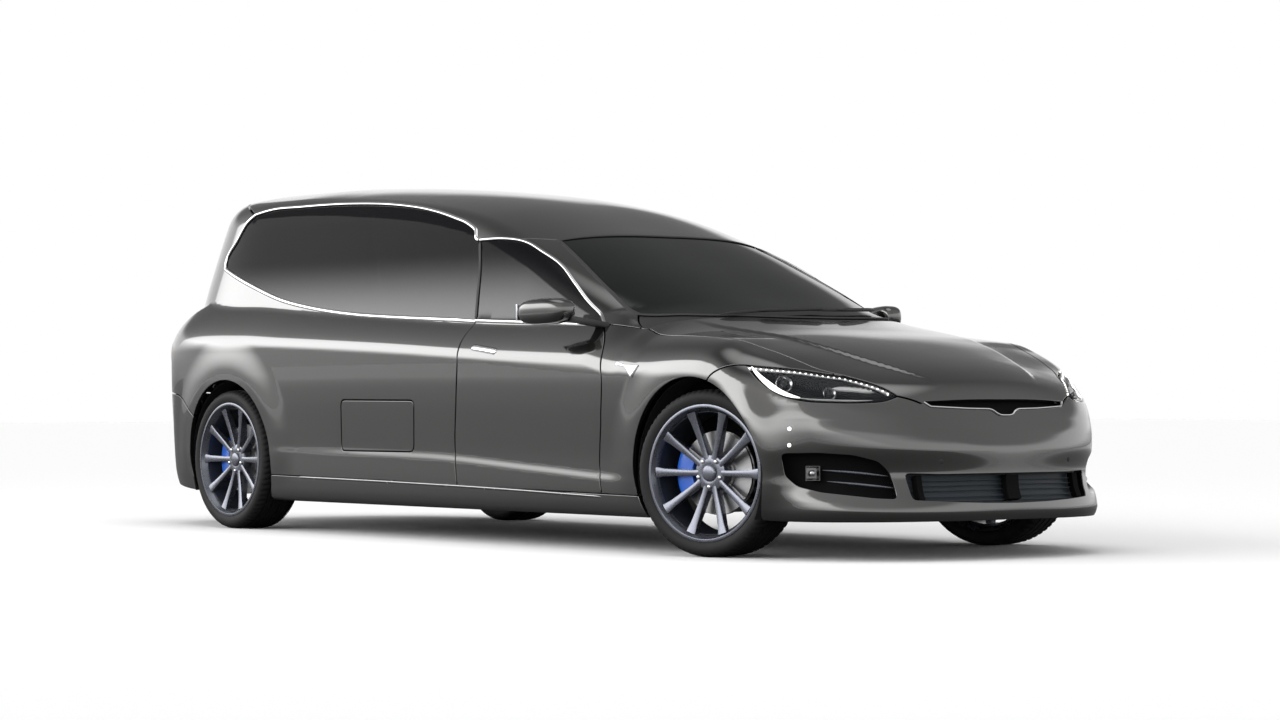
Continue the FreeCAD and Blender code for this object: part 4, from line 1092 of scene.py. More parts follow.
# %% Glass
def pane(name, line, chart, body="body", finish="side glass", replaces=(), inner=0.004,
         both_sides=False):
    """A sheet of glass a little inside the skin."""
    shape = skin_panel(line, chart, gap=0.002, thickness=0.005, roll=0.001, step=0.03, offset=-inner)
    return panel(name, both(shape) if both_sides else shape, body, finish, replaces)


pane("windscreen", whole("plan", HEADER, SCREEN_SIDE, SCREEN_BASE), "plan", finish="screen glass",
     replaces=["windscreen"])
side_line = outline("roll", GLASS_SPLIT, GLASS_TOP[::-1], GLASS_REAR[::-1], BELT_REAR[::-1])
pane("side windows", side_line, "roll", replaces=["side_windows"], both_sides=True)
door_glass_line = outline("roll", BELT_DOOR, GLASS_SPLIT, DOOR_GLASS_TOP)
door_glass = skin_panel(door_glass_line, "roll", gap=0.002, thickness=0.005, roll=0.001, step=0.03,
                        offset=-0.004)
for side_name, side in SIDES.items():
    panel(f"{side_name} door glass", on_side(door_glass, side), f"door_{side_name}", "side glass",
          [f"door_glass_{side_name}"])
pane("tailgate glass", flat_of(GATE_WINDOW, "gate"), "gate", "tailgate", replaces=["tailgate_glass"])

# %% [markdown]
# ## Strips
# Trims, seals and bars are one idea: a small rounded cross-section carried along a line that lies on
# the skin, with its back against the skin.

# %% Sweep a section along a line
def frames(line, closed=False, up=None):
    """Ups (the skin's normal, or a given one) and sides along a line, both unit vectors."""
    tangent = (np.roll(line, -1, axis=0) - np.roll(line, 1, axis=0)) if closed else np.gradient(line, axis=0)
    tangent /= np.linalg.norm(tangent, axis=1, keepdims=True) + 1e-12
    up = body_normal(line) if up is None else np.broadcast_to(np.asarray(up, float), line.shape)
    up = up - tangent * np.sum(up * tangent, 1, keepdims=True)
    up = up / np.linalg.norm(up, axis=1, keepdims=True)
    return up, np.cross(tangent, up)


def fan(ring):
    """Triangles over a closed section, all from its first point."""
    return np.stack([np.full(len(ring) - 2, ring[0]), ring[1:-1], ring[2:]], 1)


def strip(line, section, closed=False, up=None, taper=0.0):
    """A closed section of (sideways, up) pairs swept along a line; open ends are closed with a fan.
    Taper draws the section in towards both ends over that share of the line."""
    line = np.asarray(line, float)
    section = np.asarray(section, float)
    up, side = frames(line, closed, up)
    size = np.ones(len(line))
    if taper:
        t = np.linspace(0, 1, len(line))
        size = np.sqrt(np.clip(np.minimum(t, 1 - t) / taper, 0.02, 1))
    rows, cols = len(line), len(section)
    shape = side[:, None] * section[None, :, :1] + up[:, None] * section[None, :, 1:]
    points = line[:, None] + shape * size[:, None, None]
    points = points.reshape(-1, 3)
    i, j = np.meshgrid(np.arange(rows if closed else rows - 1), np.arange(cols), indexing="ij")
    a, b = i * cols + j, i * cols + (j + 1) % cols
    c, d = ((i + 1) % rows) * cols + (j + 1) % cols, ((i + 1) % rows) * cols + j
    quads = np.stack([a, b, c, d], -1).reshape(-1, 4)
    area = np.sum(section[:, 0] * np.roll(section[:, 1], -1) - np.roll(section[:, 0], -1) * section[:, 1])
    if area > 0:
        quads = quads[:, ::-1]
    groups = [(quads, None)]
    if not closed:
        ring = np.arange(cols)
        last = ring + (rows - 1) * cols
        ends = [fan(ring[::-1]), fan(last)] if area > 0 else [fan(ring), fan(last[::-1])]
        groups.append((np.concatenate(ends), None))
    return points, groups


def oval(width, height, count=12, foot=0.002):
    """A half-oval section standing on the line, its foot a little below."""
    angle = np.linspace(0, np.pi, count)
    arc = np.stack([np.cos(angle) * width / 2, np.sin(angle) * height], 1)
    return np.concatenate([arc, [(-width / 2, -foot), (width / 2, -foot)]])


def hard(name, shape, finish, body="body", replaces=(), degrees=35):
    """A piece with sharp shading where its faces meet at more than an angle."""
    thing = panel(name, shape, body, finish, replaces)
    thing.data.set_sharp_from_angle(angle=np.radians(degrees))
    return thing


def trim(name, shape, finish="chrome", body="body"):
    """A strip, smooth over its blunter edges."""
    return hard(name, shape, finish, body, degrees=40)


def shifted(line, chart, distance, closed=False):
    """A line on the skin moved sideways in a chart."""
    flat = flat_of(line, chart)
    if closed:
        moved = inset(flat, distance)
    else:
        edge = np.gradient(flat, axis=0)
        length = np.linalg.norm(edge, axis=1, keepdims=True) + 1e-12
        moved = flat + np.stack([-edge[:, 1], edge[:, 0]], 1) / length * distance
    return on_body(moved, chart)[0]


chrome_side = strip(shifted(np.concatenate([BELT_REAR[:-1], GLASS_REAR[:-1], GLASS_TOP[:-1]]), "roll", 0.004),
                    oval(0.020, 0.006))
trim("window surround", both(chrome_side))
door_trim = strip(shifted(BELT_DOOR, "roll", 0.002), oval(0.018, 0.006))
for side_name, side in SIDES.items():
    trim(f"{side_name} door waist trim", on_side(door_trim, side), body=f"door_{side_name}")
trim("pillar trim", both(strip(shifted(DOOR_GLASS_TOP, "roll", 0.004), oval(0.016, 0.006))))
screen_line = on_body(whole("plan", HEADER, SCREEN_SIDE, SCREEN_BASE), "plan")[0]
screen_seal = strip(shifted(screen_line, "plan", 0.004, True), oval(0.020, 0.0015), True)
trim("windscreen seal", screen_seal, "rubber")
trim("glass split seals", both(strip(GLASS_SPLIT, oval(0.016, 0.001), taper=0.02)), "rubber")
trim("nose bar", strip(np.concatenate([SLOT_FOOT[:-1], mirrored(SLOT_FOOT)]), oval(0.010, 0.008)))

# %% [markdown]
# ## Wheels
# A wheel is built straight, about its own axis, and then set on its hub's joint, so the front pair
# takes the steering angle it is parked at. Tyres and rims are turned profiles; the tread's blocks are
# the same profile with the radius dropped wherever a groove crosses.

# %% Turned shapes
def grid_faces(rows, cols, close_rows=False, close_cols=False):
    """Quads over a grid of points numbered row by row."""
    i, j = np.meshgrid(np.arange(rows if close_rows else rows - 1),
                       np.arange(cols if close_cols else cols - 1), indexing="ij")
    k, m = (i + 1) % rows, (j + 1) % cols
    return np.stack([i * cols + j, i * cols + m, k * cols + m, k * cols + j], -1).reshape(-1, 4)


def turned(profile, count=96, start=0.0, end=360.0, dip=None):
    """A profile of (radius, along) pairs turned about the axis: points as (ahead, outward, up). A closed
    solid wants a closed profile. dip(angle, radius, along) lowers the radius."""
    profile = np.asarray(profile, float)
    full = end - start >= 360
    angle = np.radians(np.linspace(start, end, count + (0 if full else 1), endpoint=not full))[:, None]
    radius, along = profile[None, :, 0] + 0 * angle, profile[None, :, 1] + 0 * angle
    if dip is not None:
        radius = radius - dip(angle + 0 * radius, radius, along)
    points = np.stack([radius * np.cos(angle), along, radius * np.sin(angle)], -1).reshape(-1, 3)
    closed = np.allclose(profile[0], profile[-1])
    faces = grid_faces(len(angle), len(profile), close_rows=full)
    groups = [(faces, None)]
    if not full and closed:
        ring = np.arange(len(profile) - 1)
        last = ring + (len(angle) - 1) * len(profile)
        groups += [(fan(ring)[:, [0, 2, 1]], None), (fan(last), None)]
    return points, groups


def tube(rings):
    """A solid from rings of points, each ring a closed section, with fans over both ends."""
    rows, cols = rings.shape[:2]
    first, last = np.arange(cols), np.arange(cols) + (rows - 1) * cols
    faces = [grid_faces(rows, cols, close_cols=True), fan(first)[:, ::-1], fan(last)]
    return rings.reshape(-1, 3), [(some, None) for some in faces]


def spun(points, angle):
    """Points as (ahead, outward, up) turned about the outward axis."""
    c, s = np.cos(angle), np.sin(angle)
    return np.stack([points[..., 0] * c - points[..., 2] * s, points[..., 1],
                     points[..., 0] * s + points[..., 2] * c], -1)


def scaled(shape, size):
    """A shape made smaller or larger about its own centre."""
    points, groups = shape
    return points * size, groups


def outwards(shape):
    """Turns a closed shape's faces round if they enclose a negative volume."""
    points, groups = shape
    volume = 0.0
    for faces, _ in groups:
        for k in range(1, faces.shape[1] - 1):
            a, b, c = points[faces[:, 0]], points[faces[:, k]], points[faces[:, k + 1]]
            volume += np.sum(a * np.cross(b, c))
    return (points, [(faces[:, ::-1], None) for faces, _ in groups]) if volume < 0 else shape


def on_hub(shape, joint_name, side):
    """From (ahead, outward, up) about a hub to the car, x from the datum."""
    joint = JOINTS[joint_name]
    axis = np.array(joint["axis"], float)
    ahead = np.array([axis[1], -axis[0], 0])
    basis = np.stack([ahead, axis * side, [0, 0, 1]])
    points, groups = shape
    placed = points @ basis + np.array(joint["pos_m"]) - (DATUM, 0, 0)
    return outwards((placed, groups))


# %% [markdown]
# The tyre has four grooves round it and slanting cuts on its shoulders. Its side walls are blank.

# %% Tyres
TREAD_R, BEAD_R, HALF_WIDTH = 0.352, 0.277, 0.120


def tyre_profile():
    """Bead to bead over the tread, then back inside, as (radius, along)."""
    ribs = []
    for groove in (-0.066, -0.024, 0.024, 0.066):
        ribs += [(TREAD_R, groove - 0.005), (TREAD_R - 0.007, groove - 0.004),
                 (TREAD_R - 0.007, groove + 0.004), (TREAD_R, groove + 0.005)]
    side = [(BEAD_R, 0.100), (BEAD_R + 0.006, 0.109), (0.296, 0.116), (0.312, HALF_WIDTH), (0.326, 0.119),
            (0.338, 0.113), (0.3465, 0.103), (0.3505, 0.092)]
    outer = [(r, -a) for r, a in side] + ribs + side[::-1]
    inside = [(BEAD_R - 0.004, 0.092), (0.30, 0.108), (0.335, 0.095), (0.342, 0.0), (0.335, -0.095),
              (0.30, -0.108), (BEAD_R - 0.004, -0.092)]
    return outer + inside + outer[:1]


def tread_dip(angle, radius, along):
    """Cross grooves: 72 a turn on the shoulders, slanting, and none on the middle ribs."""
    wave = np.cos(72 * (angle + np.abs(along) * 1.2))
    return np.where((radius > 0.344) & (np.abs(along) > 0.07), 0.005 * ease((wave - 0.72) / 0.1), 0)


def fine_profile(profile, step):
    """A profile with points added on its long edges."""
    p = np.asarray(profile, float)
    counts = np.maximum(1, np.round(np.linalg.norm(np.diff(p, axis=0), axis=1) / step)).astype(int)
    parts = [a + (b - a) * np.arange(n)[:, None] / n for a, b, n in zip(p[:-1], p[1:], counts)]
    return np.concatenate(parts + [p[-1:]])


# %% [markdown]
# The rim is a turned band with ten spokes, and each spoke is a tube from the hub to the band. Behind it
# are a barrel darker than the rim by painted shade, the brake disc and a caliper, which doesn't roll with
# the wheel.

# %% Rims and brakes
RIM = [
    (0.284, 0.104), (0.2865, 0.110), (0.284, 0.114), (0.277, 0.113), (0.272, 0.106), (0.268, 0.098),
    (0.262, 0.090), (0.258, 0.06), (0.256, 0.0), (0.258, -0.08), (0.268, -0.100), (0.280, -0.110),
    (0.2865, -0.112), (0.285, -0.104), (0.276, -0.094), (0.266, -0.07), (0.264, 0.0), (0.266, 0.06),
    (0.275, 0.092), (0.284, 0.104)]
SPOKES = 10


def spoke(angle):
    """One straight spoke: wider towards the rim and flared a little at both ends, its face dished and
    its flanks drawn in towards the back."""
    t = np.linspace(0, 1, 12)[:, None]
    radius = 0.045 + (0.2635 - 0.045) * t
    half = 0.0100 + 0.0075 * t + 0.0045 * ease((t - 0.8) / 0.2) + 0.004 * ease((0.25 - t) / 0.25)
    face = 0.074 + 0.026 * t ** 1.6
    depth = 0.050 - 0.018 * t
    across = np.array([-0.72, -1, -1.06, -0.70, 0.70, 1.06, 1, 0.72])[None]
    below = np.array([0, 0.0022, 0.006, 1, 1, 0.006, 0.0022, 0])[None]
    sideways = half * across
    outward = face - np.where(below == 1, depth, below)
    flat = np.stack([radius + 0 * across, outward, sideways], -1)
    return outwards(tube(spun(flat, angle)))


def dome(radius, height, centre_radius=0.0, angle=0.0, base=0.08, sides=24, foot=0.012):
    """A small domed cap or bolt head standing on the hub face."""
    t = np.linspace(0, np.pi / 2, 7)
    cap = [(radius * np.cos(a) + 1e-4, base + height * np.sin(a)) for a in t]
    profile = [(1e-4, base - foot), (radius, base - foot)] + cap + [(1e-4, base - foot)]
    points, groups = turned(profile, sides)
    return points + (centre_radius * np.cos(angle), 0, centre_radius * np.sin(angle)), groups


HUB = [(1e-4, 0.030), (0.075, 0.030), (0.080, 0.036), (0.079, 0.062), (0.074, 0.070), (0.048, 0.078),
       (0.040, 0.076), (1e-4, 0.076), (1e-4, 0.030)]
DISC = [
    (0.05, -0.030), (0.088, -0.030), (0.090, -0.012), (0.177, -0.012), (0.177, -0.002), (0.172, 0.000),
    (0.172, 0.004), (0.177, 0.006), (0.177, 0.016), (0.094, 0.016), (0.092, 0.028), (0.05, 0.030),
    (0.05, -0.030)]
CALIPER = [
    (0.106, -0.050), (0.172, -0.052), (0.190, -0.040), (0.194, 0.0), (0.190, 0.044), (0.172, 0.054),
    (0.106, 0.052), (0.106, 0.022), (0.180, 0.020), (0.180, -0.016), (0.106, -0.018), (0.106, -0.050)]
spoke_angles = np.radians(np.arange(SPOKES) * 360 / SPOKES)
tyre_shape = turned(fine_profile(tyre_profile(), 0.012), 432, dip=tread_dip)
LIP = [(0.284, 0.1135), (0.2875, 0.111), (0.2885, 0.1145), (0.2825, 0.1165), (0.276, 0.1155), (0.276, 0.1135),
       (0.284, 0.1135)]
rim_shape = join([turned(RIM, 120), turned(LIP, 120), outwards(turned(HUB, 60))]
                 + [spoke(a) for a in spoke_angles])
bolt_angles = np.radians(np.arange(5) * 72 + 54)
bolt_shape = join([dome(0.009, 0.004, 0.058, a, base=0.080, sides=12) for a in bolt_angles])
BARREL = [
    (0.2585, 0.084), (0.2565, 0.06), (0.2545, 0.0), (0.2565, -0.078), (0.2545, -0.078), (0.2525, 0.0),
    (0.2545, 0.058), (0.2570, 0.084), (0.2585, 0.084)]
caliper_shape = outwards(turned(CALIPER, 24, 146, 214))

WHEEL_PARTS = [("tyre", tyre_shape, "tyre rubber", "tyre", 50),
               ("rim", rim_shape, "grey alloy", "alloy", 35),
               # the barrel's darker alloy is painted shade
               ("rim barrel", turned(BARREL, 96), "dark wheel paint", "alloy", 35),
               ("wheel bolts", bolt_shape, "bright alloy", "alloy", 35),
               ("wheel cap", dome(0.036, 0.010, base=0.078, sides=40), "grey alloy", "alloy", 35),
               ("brake disc", turned(DISC, 96), "turned iron", "disc_iron", 35)]
for end in ("front", "rear"):
    for side_name, side in SIDES.items():
        where = f"{end}_{side_name}"
        for name, shape, finish, slot, degrees in WHEEL_PARTS:
            node = f"{name} {where}".replace(" ", "_")
            hard(node, on_hub(shape, f"roll_{where}", side), finish, f"wheel_{where}",
                 [node] if node in frame["nodes"] else (), degrees)
        holder = f"knuckle_{side_name}" if end == "front" else "body"
        hard(f"brake caliper {where}", on_hub(caliper_shape, f"roll_{where}", side), "blue caliper paint",
             holder)

# %% [markdown]
# ## Lamps and intakes
# A lamp is a clear piece of skin over a dark bowl of the same outline further in. Between them are two
# reflectors, a blade, a wedge of light along the lower edge and a row of small bright beads.

# %% Headlamps
def aimed(shape, centre, axis):
    """A turned shape set with its outward direction along an axis at a centre."""
    axis = np.asarray(axis, float) / np.linalg.norm(axis)
    ahead = np.cross([0, 0, 1.0], axis)
    ahead /= np.linalg.norm(ahead)
    points, groups = shape
    return outwards((points @ np.stack([ahead, axis, np.cross(ahead, axis)]) + centre, groups))


lamp_flat = outline("nose", LAMP_LOW, BONNET_LAMP[::-1], LAMP_TOP[::-1])
lamp_lens = skin_panel(lamp_flat, "nose", gap=0.002, thickness=0.003, roll=0.002, step=0.014)
lamp_bowl = skin_panel(inset(lamp_flat, -0.004), "nose", gap=0.0, thickness=0.006, roll=0.001, step=0.016,
                       offset=-0.042)
hard("headlamp bowls", both(lamp_bowl), "deep black", "body", ["headlamps"])
panel("headlamp lenses", both(lamp_lens), finish="clear lens")


def under_skin(point, chart, depth):
    """A place under the skin beside a point, and the skin's normal there."""
    points, normals = on_body(flat_of([point], chart), chart, -depth)
    return points[0], normals[0]


BOWL = [(1e-4, -0.020), (0.020, -0.020), (0.040, 0.004), (0.043, 0.006), (0.045, 0.003), (0.024, -0.026),
        (1e-4, -0.026), (1e-4, -0.020)]
EYE_TOP = [(0.021 * np.cos(a) + 1e-4, -0.006 + 0.014 * np.sin(a)) for a in np.linspace(0.2, np.pi / 2, 6)]
EYE = [(1e-4, -0.020), (0.019, -0.020), (0.021, -0.006)] + EYE_TOP + [(1e-4, -0.020)]
reflectors, eyes = [], []
for spot, size in (((0.415, 0.840, 0.738), 0.80), ((0.560, 0.715, 0.700), 0.62)):
    centre, normal = under_skin(spot, "nose", 0.026)
    way = normal + np.array([0.9, 0.1, 0])
    reflectors.append(aimed(scaled(turned(BOWL, 40), size), centre, way))
    eyes.append(aimed(scaled(turned(EYE, 32), size), centre, way))
blade = strip(seam("nose", [(0.575, 0.715, 0.705), (0.64, 0.655, 0.700), (0.69, 0.585, 0.690)])
              - (0.018, 0.012, 0), oval(0.030, 0.004), taper=0.2)
wedge_line = lifted(LAMP_LOW[:int(len(LAMP_LOW) * 0.42)], "nose", -0.008) + (0.012, -0.004, 0.010)
wedge = strip(wedge_line[1:], oval(0.024, 0.003), taper=0.5)
brow_line = lifted(LAMP_LOW[int(len(LAMP_LOW) * 0.40):-6], "nose", -0.010) + (-0.004, 0, 0.012)
brow = strip(brow_line, oval(0.010, 0.003), taper=0.3)
hard("lamp reflectors", both(join(reflectors + [blade, brow])), "satin reflector")
hard("lamp light wedges", both(wedge), "lamp white")
hard("lamp eyes", both(join(eyes)), "gloss black")
bead_line = lifted(shifted(np.concatenate([LAMP_TOP, BONNET_LAMP[1:-2]]), "nose", 0.010), "nose", -0.006)
bead_at = run(bead_line[1:], 0.024)
bead = turned([(1e-4, -0.004), (0.0055, -0.004), (0.005, 0.002), (0.0025, 0.004), (1e-4, 0.0045),
               (1e-4, -0.004)], 10)
beads = [aimed(bead, p, n) for p, n in zip(bead_at, body_normal(bead_at))]
hard("daytime lamp beads", both(join(beads)), "lamp white")
hard("daytime lamp carrier", both(strip(bead_line, oval(0.018, 0.002))), "satin reflector")

tail_flat = outline("tail", TAIL_LAMP_TOP, LAMP_INNER, TAIL_LAMP_LOW)
tail_lens = skin_panel(tail_flat, "tail", gap=0.004, thickness=0.012, step=0.014, offset=0.002)
panel("tail lamp lenses", both(tail_lens), finish="lens red", replaces=["tail_lamps"])
tail_mid = seam("tail", [(-4.56, 0.80, 0.915), (-4.66, 0.74, 0.895), (-4.735, 0.655, 0.888)])
light_bar = strip(lifted(tail_mid, "tail", 0.002), oval(0.020, 0.003), taper=0.1)
hard("tail lamp light bars", both(light_bar), "lens red")

# %% [markdown]
# Behind each opening of the bumper lies a dark backing: louvres and posts in the middle one, two grey
# slats and a squarish fog lamp in each side one. Small marker lamps, a sensor and the wing's repeater
# sit flush on the skin.

# %% Intakes
lower_backing = skin_panel(inset(lower_intake, -0.01), "nose", gap=0, thickness=0.01, roll=0.001, step=0.02,
                           offset=-0.055)
hard("radiator face", lower_backing, "radiator", "body", ["grille"])
louvres = []
for height in np.arange(0.262, 0.352, 0.018):
    reach = 0.50 - 0.6 * max(0.30 - height, 0)
    level = on_body(np.stack([np.linspace(-reach, reach, 40), np.full(40, height)], 1), "front", -0.047)[0]
    louvres.append(strip(level, [(0.0015, 0), (-0.0015, 0), (-0.0015, 0.010), (0.0015, 0.010)], up=(1, 0, 0)))
hard("intake louvres", join([outwards(s) for s in louvres]), "radiator")
posts = []
for y, half in ((0.0, 0.036), (-0.470, 0.014), (0.470, 0.014)):
    post = on_body(np.array([(y, h) for h in np.linspace(0.252, 0.350, 8)]), "front", -0.042)[0]
    posts.append(outwards(strip(post, [(half, 0), (-half, 0), (-half, 0.03), (half, 0.03)], up=(1, 0, 0))))
hard("intake posts", join(posts), "deep black")
fog_backing = skin_panel(inset(fog_left, -0.01), "nose", gap=0, thickness=0.01, roll=0.001, step=0.02,
                         offset=-0.07)
hard("side intake backing", both(fog_backing), "deep black")
slats = []
for line in ([(0.779, 0.371), (0.680, 0.362), (0.576, 0.350)],
             [(0.769, 0.330), (0.665, 0.318), (0.557, 0.304)]):
    slats.append(strip(on_body(run(np.array(line), 0.01), "front", -0.020)[0], oval(0.010, 0.004),
                       taper=0.35))
hard("side intake slats", both(join(slats)), "grey alloy")
fog_at, fog_normal = under_skin((0.541, 0.805, 0.359), "nose", 0.034)
fog_way = fog_normal + np.array([0.8, 0, 0])
fog_cup = [
    (1e-4, -0.022), (0.030, -0.022), (0.040, 0.006), (0.042, 0.006), (0.033, -0.026), (1e-4, -0.026),
    (1e-4, -0.022)]
fog_lamp = aimed(turned(fog_cup, 4, 45, 405), fog_at, fog_way)
fog_eye = aimed(scaled(turned(EYE, 32), 0.62), fog_at, fog_way)
hard("front fog lamps", both(fog_lamp), "satin trim", degrees=20)
hard("fog lamp eyes", both(fog_eye), "bright alloy")
MARKER = [(1e-4, -0.003), (0.008, -0.003), (0.008, 0.0006), (0.005, 0.0022), (1e-4, 0.0026), (1e-4, -0.003)]
markers = []
for spot in ((0.474, 0.862, 0.541), (0.474, 0.862, 0.474)):
    centre, normal = under_skin(spot, "nose", 0.0)
    markers.append(aimed(turned(MARKER, 16), centre, normal))
hard("side marker lamps", both(join(markers)), "lamp white")
sensor = turned([(r * 1.3, a) for r, a in MARKER], 20)
sensor = aimed(sensor, *under_skin((0.852, 0.371, 0.408), "nose", 0.0))
hard("parking sensors", both(sensor), "rubber")
REPEATER = [
    (-0.545, 0.815), (-0.384, 0.807), (-0.394, 0.790), (-0.424, 0.753), (-0.438, 0.753), (-0.466, 0.787),
    (-0.486, 0.799)]
repeater = run(np.array(REPEATER + REPEATER[:1]), 0.004, False)[:-1]
surround = skin_panel(repeater, "profile", gap=0, thickness=0.006, roll=0.0015, step=0.004, offset=0.0025)
hard("wing repeaters", both(surround), "satin trim")
lens = skin_panel(inset(repeater, 0.006), "profile", gap=0, thickness=0.003, roll=0.0008, step=0.004,
                  offset=0.0045)
hard("wing repeater lenses", both(lens), "bright alloy")
slot_line = whole("nose", BONNET_NOSE[::-1], SLOT_FOOT)
slot_backing = skin_panel(inset(slot_line, -0.012), "nose", gap=0, thickness=0.008, roll=0.001, step=0.012,
                          offset=-0.032)
hard("nose slot backing", slot_backing, "deep black")

# %% [markdown]
# ## Doors, mirrors and small parts outside
# The doors get a lining behind the skin, the wheel arches a black inner edge, and the mirrors a
# rounded pod: a grid over a sphere whose sines are raised to a power below one.

# %% Rounded blocks and pods
def slab(low, high, radius, steps=4):
    """A block between two corners with all its edges rounded: rounded rectangles in y and z that draw
    in towards both ends of x along a quarter circle."""
    low, high = np.array(low, float), np.array(high, float)
    angle = np.linspace(0, np.pi / 2, steps + 1)
    draw = radius * (1 - np.sin(angle))
    places = np.concatenate([low[0] + radius * (1 - np.cos(angle)),
                             high[0] - radius * (1 - np.cos(angle[::-1]))])
    draws = np.concatenate([draw, draw[::-1]])
    rings = []
    for x, d in zip(places, draws):
        y0, y1, z0, z1 = low[1] + d, high[1] - d, low[2] + d, high[2] - d
        ring = rounded([(y0, z0), (y1, z0), (y1, z1), (y0, z1)], max(radius - d, 0.15 * radius) * 0.98,
                       steps + 1)
        rings.append(np.column_stack([np.full(len(ring), x), ring]))
    return outwards(tube(np.array(rings)))


def pod(centre, half, power=0.7, count=28, shear=(0, 0)):
    """A rounded box over a sphere's grid; shear leans y and z with x."""
    u = np.linspace(-np.pi / 2, np.pi / 2, count)[:, None]
    v = np.linspace(0, 2 * np.pi, count * 2, endpoint=False)[None]
    bent = [np.sign(f) * np.abs(f) ** power
            for f in (np.cos(u) * np.cos(v), np.cos(u) * np.sin(v), np.sin(u) + 0 * v)]
    points = np.stack(bent, -1) * np.array(half)
    points[..., 1] += points[..., 0] * shear[0]
    points[..., 2] += points[..., 0] * shear[1]
    return outwards(((points + centre).reshape(-1, 3),
                     [(grid_faces(count, count * 2, close_cols=True), None)]))


lining = skin_panel(inset(door_line, 0.012), "roll", gap=0, thickness=0.075, roll=0.010, step=0.03,
                    offset=-0.0215)
rest = slab((-1.62, 0.815, 0.60), (-0.95, 0.872, 0.66), 0.018)
pull = slab((-1.30, 0.835, 0.74), (-1.05, 0.868, 0.765), 0.008)
handle_line = seam("profile", [(-1.632, 0.899), (-1.53, 0.888), (-1.428, 0.876)], step=0.008)
handle = strip(lifted(handle_line, "roll", 0.001), oval(0.026, 0.005, 14), taper=0.08)
# painted shade: a thin gloss black band, a little wider than the handle, for the shade in the gap round it
painted_gap_shade = strip(handle_line, oval(0.034, 0.0012), taper=0.06)
mirror_pod = pod((-0.985, 1.010, 1.048), (0.122, 0.066, 0.058), 0.66, shear=(-0.28, 0.04))
FOOT_RING = ((-0.035, -0.012), (0.03, -0.012), (0.034, 0), (0.03, 0.012), (-0.035, 0.014), (-0.04, 0))
FOOT_LINE = ((-0.78, 0.845, 0.985), (-0.80, 0.875, 0.993), (-0.85, 0.925, 1.006), (-0.90, 0.960, 1.016))
mirror_foot = tube(np.array([[(x + dx, y, z + dz) for dx, dz in FOOT_RING] for x, y, z in FOOT_LINE]))
mirror_glass = slab((-1.111, 0.985, 1.010), (-1.101, 1.088, 1.082), 0.003)
for side_name, side in SIDES.items():
    door_body = f"door_{side_name}"
    hard(f"{side_name} door lining", on_side(join([lining, rest, pull]), side), "door lining", door_body,
         [f"door_{side_name}"])
    hard(f"{side_name} door handle", on_side(handle, side), "chrome", door_body)
    # the gloss black band of painted shade round the handle
    hard(f"{side_name} door handle recess", on_side(painted_gap_shade, side), "gloss black", door_body)
    hard(f"{side_name} mirror pod", on_side(mirror_pod, side), "warm grey metallic paint", door_body,
         [f"mirror_{side_name}"], 60)
    hard(f"{side_name} mirror foot", on_side(outwards(mirror_foot), side), "satin black plastic", door_body)
    hard(f"{side_name} mirror glass", on_side(mirror_glass, side), "bright alloy", door_body)

arch_ring = [
    (0.402, 0.935), (0.402, 0.832), (0.432, 0.800), (0.436, 0.806), (0.407, 0.838), (0.407, 0.935),
    (0.402, 0.935)]
arches = []
for axle, start, end in ((FRONT_AXLE, -27, 196), (REAR_AXLE, -12, 204)):
    points, groups = turned(arch_ring, 90, start, end)
    arches.append(outwards((points + (axle, 0, AXLE_Z), groups)))
hard("wheel arch edges", both(join(arches)), "liner felt")

wiper_parts = []
WIPER_LIFT, ARM_LIFT = 0.010, 0.018
for line in ([(-0.405, -0.50), (-0.40, -0.2), (-0.43, 0.12)], [(-0.415, 0.02), (-0.44, 0.30), (-0.53, 0.52)]):
    on_glass = run(line, 0.02)
    arm_line = on_glass[len(on_glass) // 3:] + (0.012, 0)
    wiper_parts.append(strip(on_body(on_glass, "plan", WIPER_LIFT)[0], oval(0.014, 0.010), taper=0.1))
    wiper_parts.append(strip(on_body(arm_line, "plan", ARM_LIFT)[0], oval(0.016, 0.009), taper=0.1))
hard("windscreen wipers", join(wiper_parts), "satin black plastic")

back_bar = strip(on_body(np.stack([np.linspace(-0.56, 0.56, 60), np.full(60, 0.948)], 1), "back", 0.0)[0],
                 oval(0.020, 0.008), taper=0.04)
hard("tailgate bar", back_bar, "chrome", "tailgate")
plate_at = on_body(np.array([(0.0, 0.83)]), "back", 0.004)[0][0]
hard("blank plate", slab(plate_at + (-0.004, -0.26, -0.055), plate_at + (0.002, 0.26, 0.055), 0.002),
     "headliner", "tailgate")
sill_trim = strip(seam("profile", [(-0.675, 0.237), (-1.421, 0.254), (-2.225, 0.266), (-3.131, 0.274)],
                       step=0.04), oval(0.013, 0.006), taper=0.02)
hard("sill trims", both(sill_trim), "satin trim")

# %% [markdown]
# ## Cabin and load space
# The windscreen shows the cabin, and the doors and tailgate open, so there is a dashboard with a
# screen, two seats, a bulkhead and the deck. The steering wheel is parked twelve times as far round as
# the road wheels.

# %% Dashboard, steering wheel and linings
def across_car(corners, y_low, y_high, radius, rows=24):
    """A rounded section in side view carried across the car and drawn in at its ends."""
    ring = rounded(corners, radius, 6)
    centre = ring.mean(0)
    t = np.linspace(-1, 1, rows)
    size = (1 - np.abs(t) ** 14 * 0.25)[:, None, None]
    ring = centre + (ring - centre)[None] * size
    ys = (y_low + y_high) / 2 + (y_high - y_low) / 2 * np.sin(t * np.pi / 2)
    return outwards(tube(np.stack([ring[..., 0], ys[:, None] + 0 * ring[..., 0], ring[..., 1]], -1)))


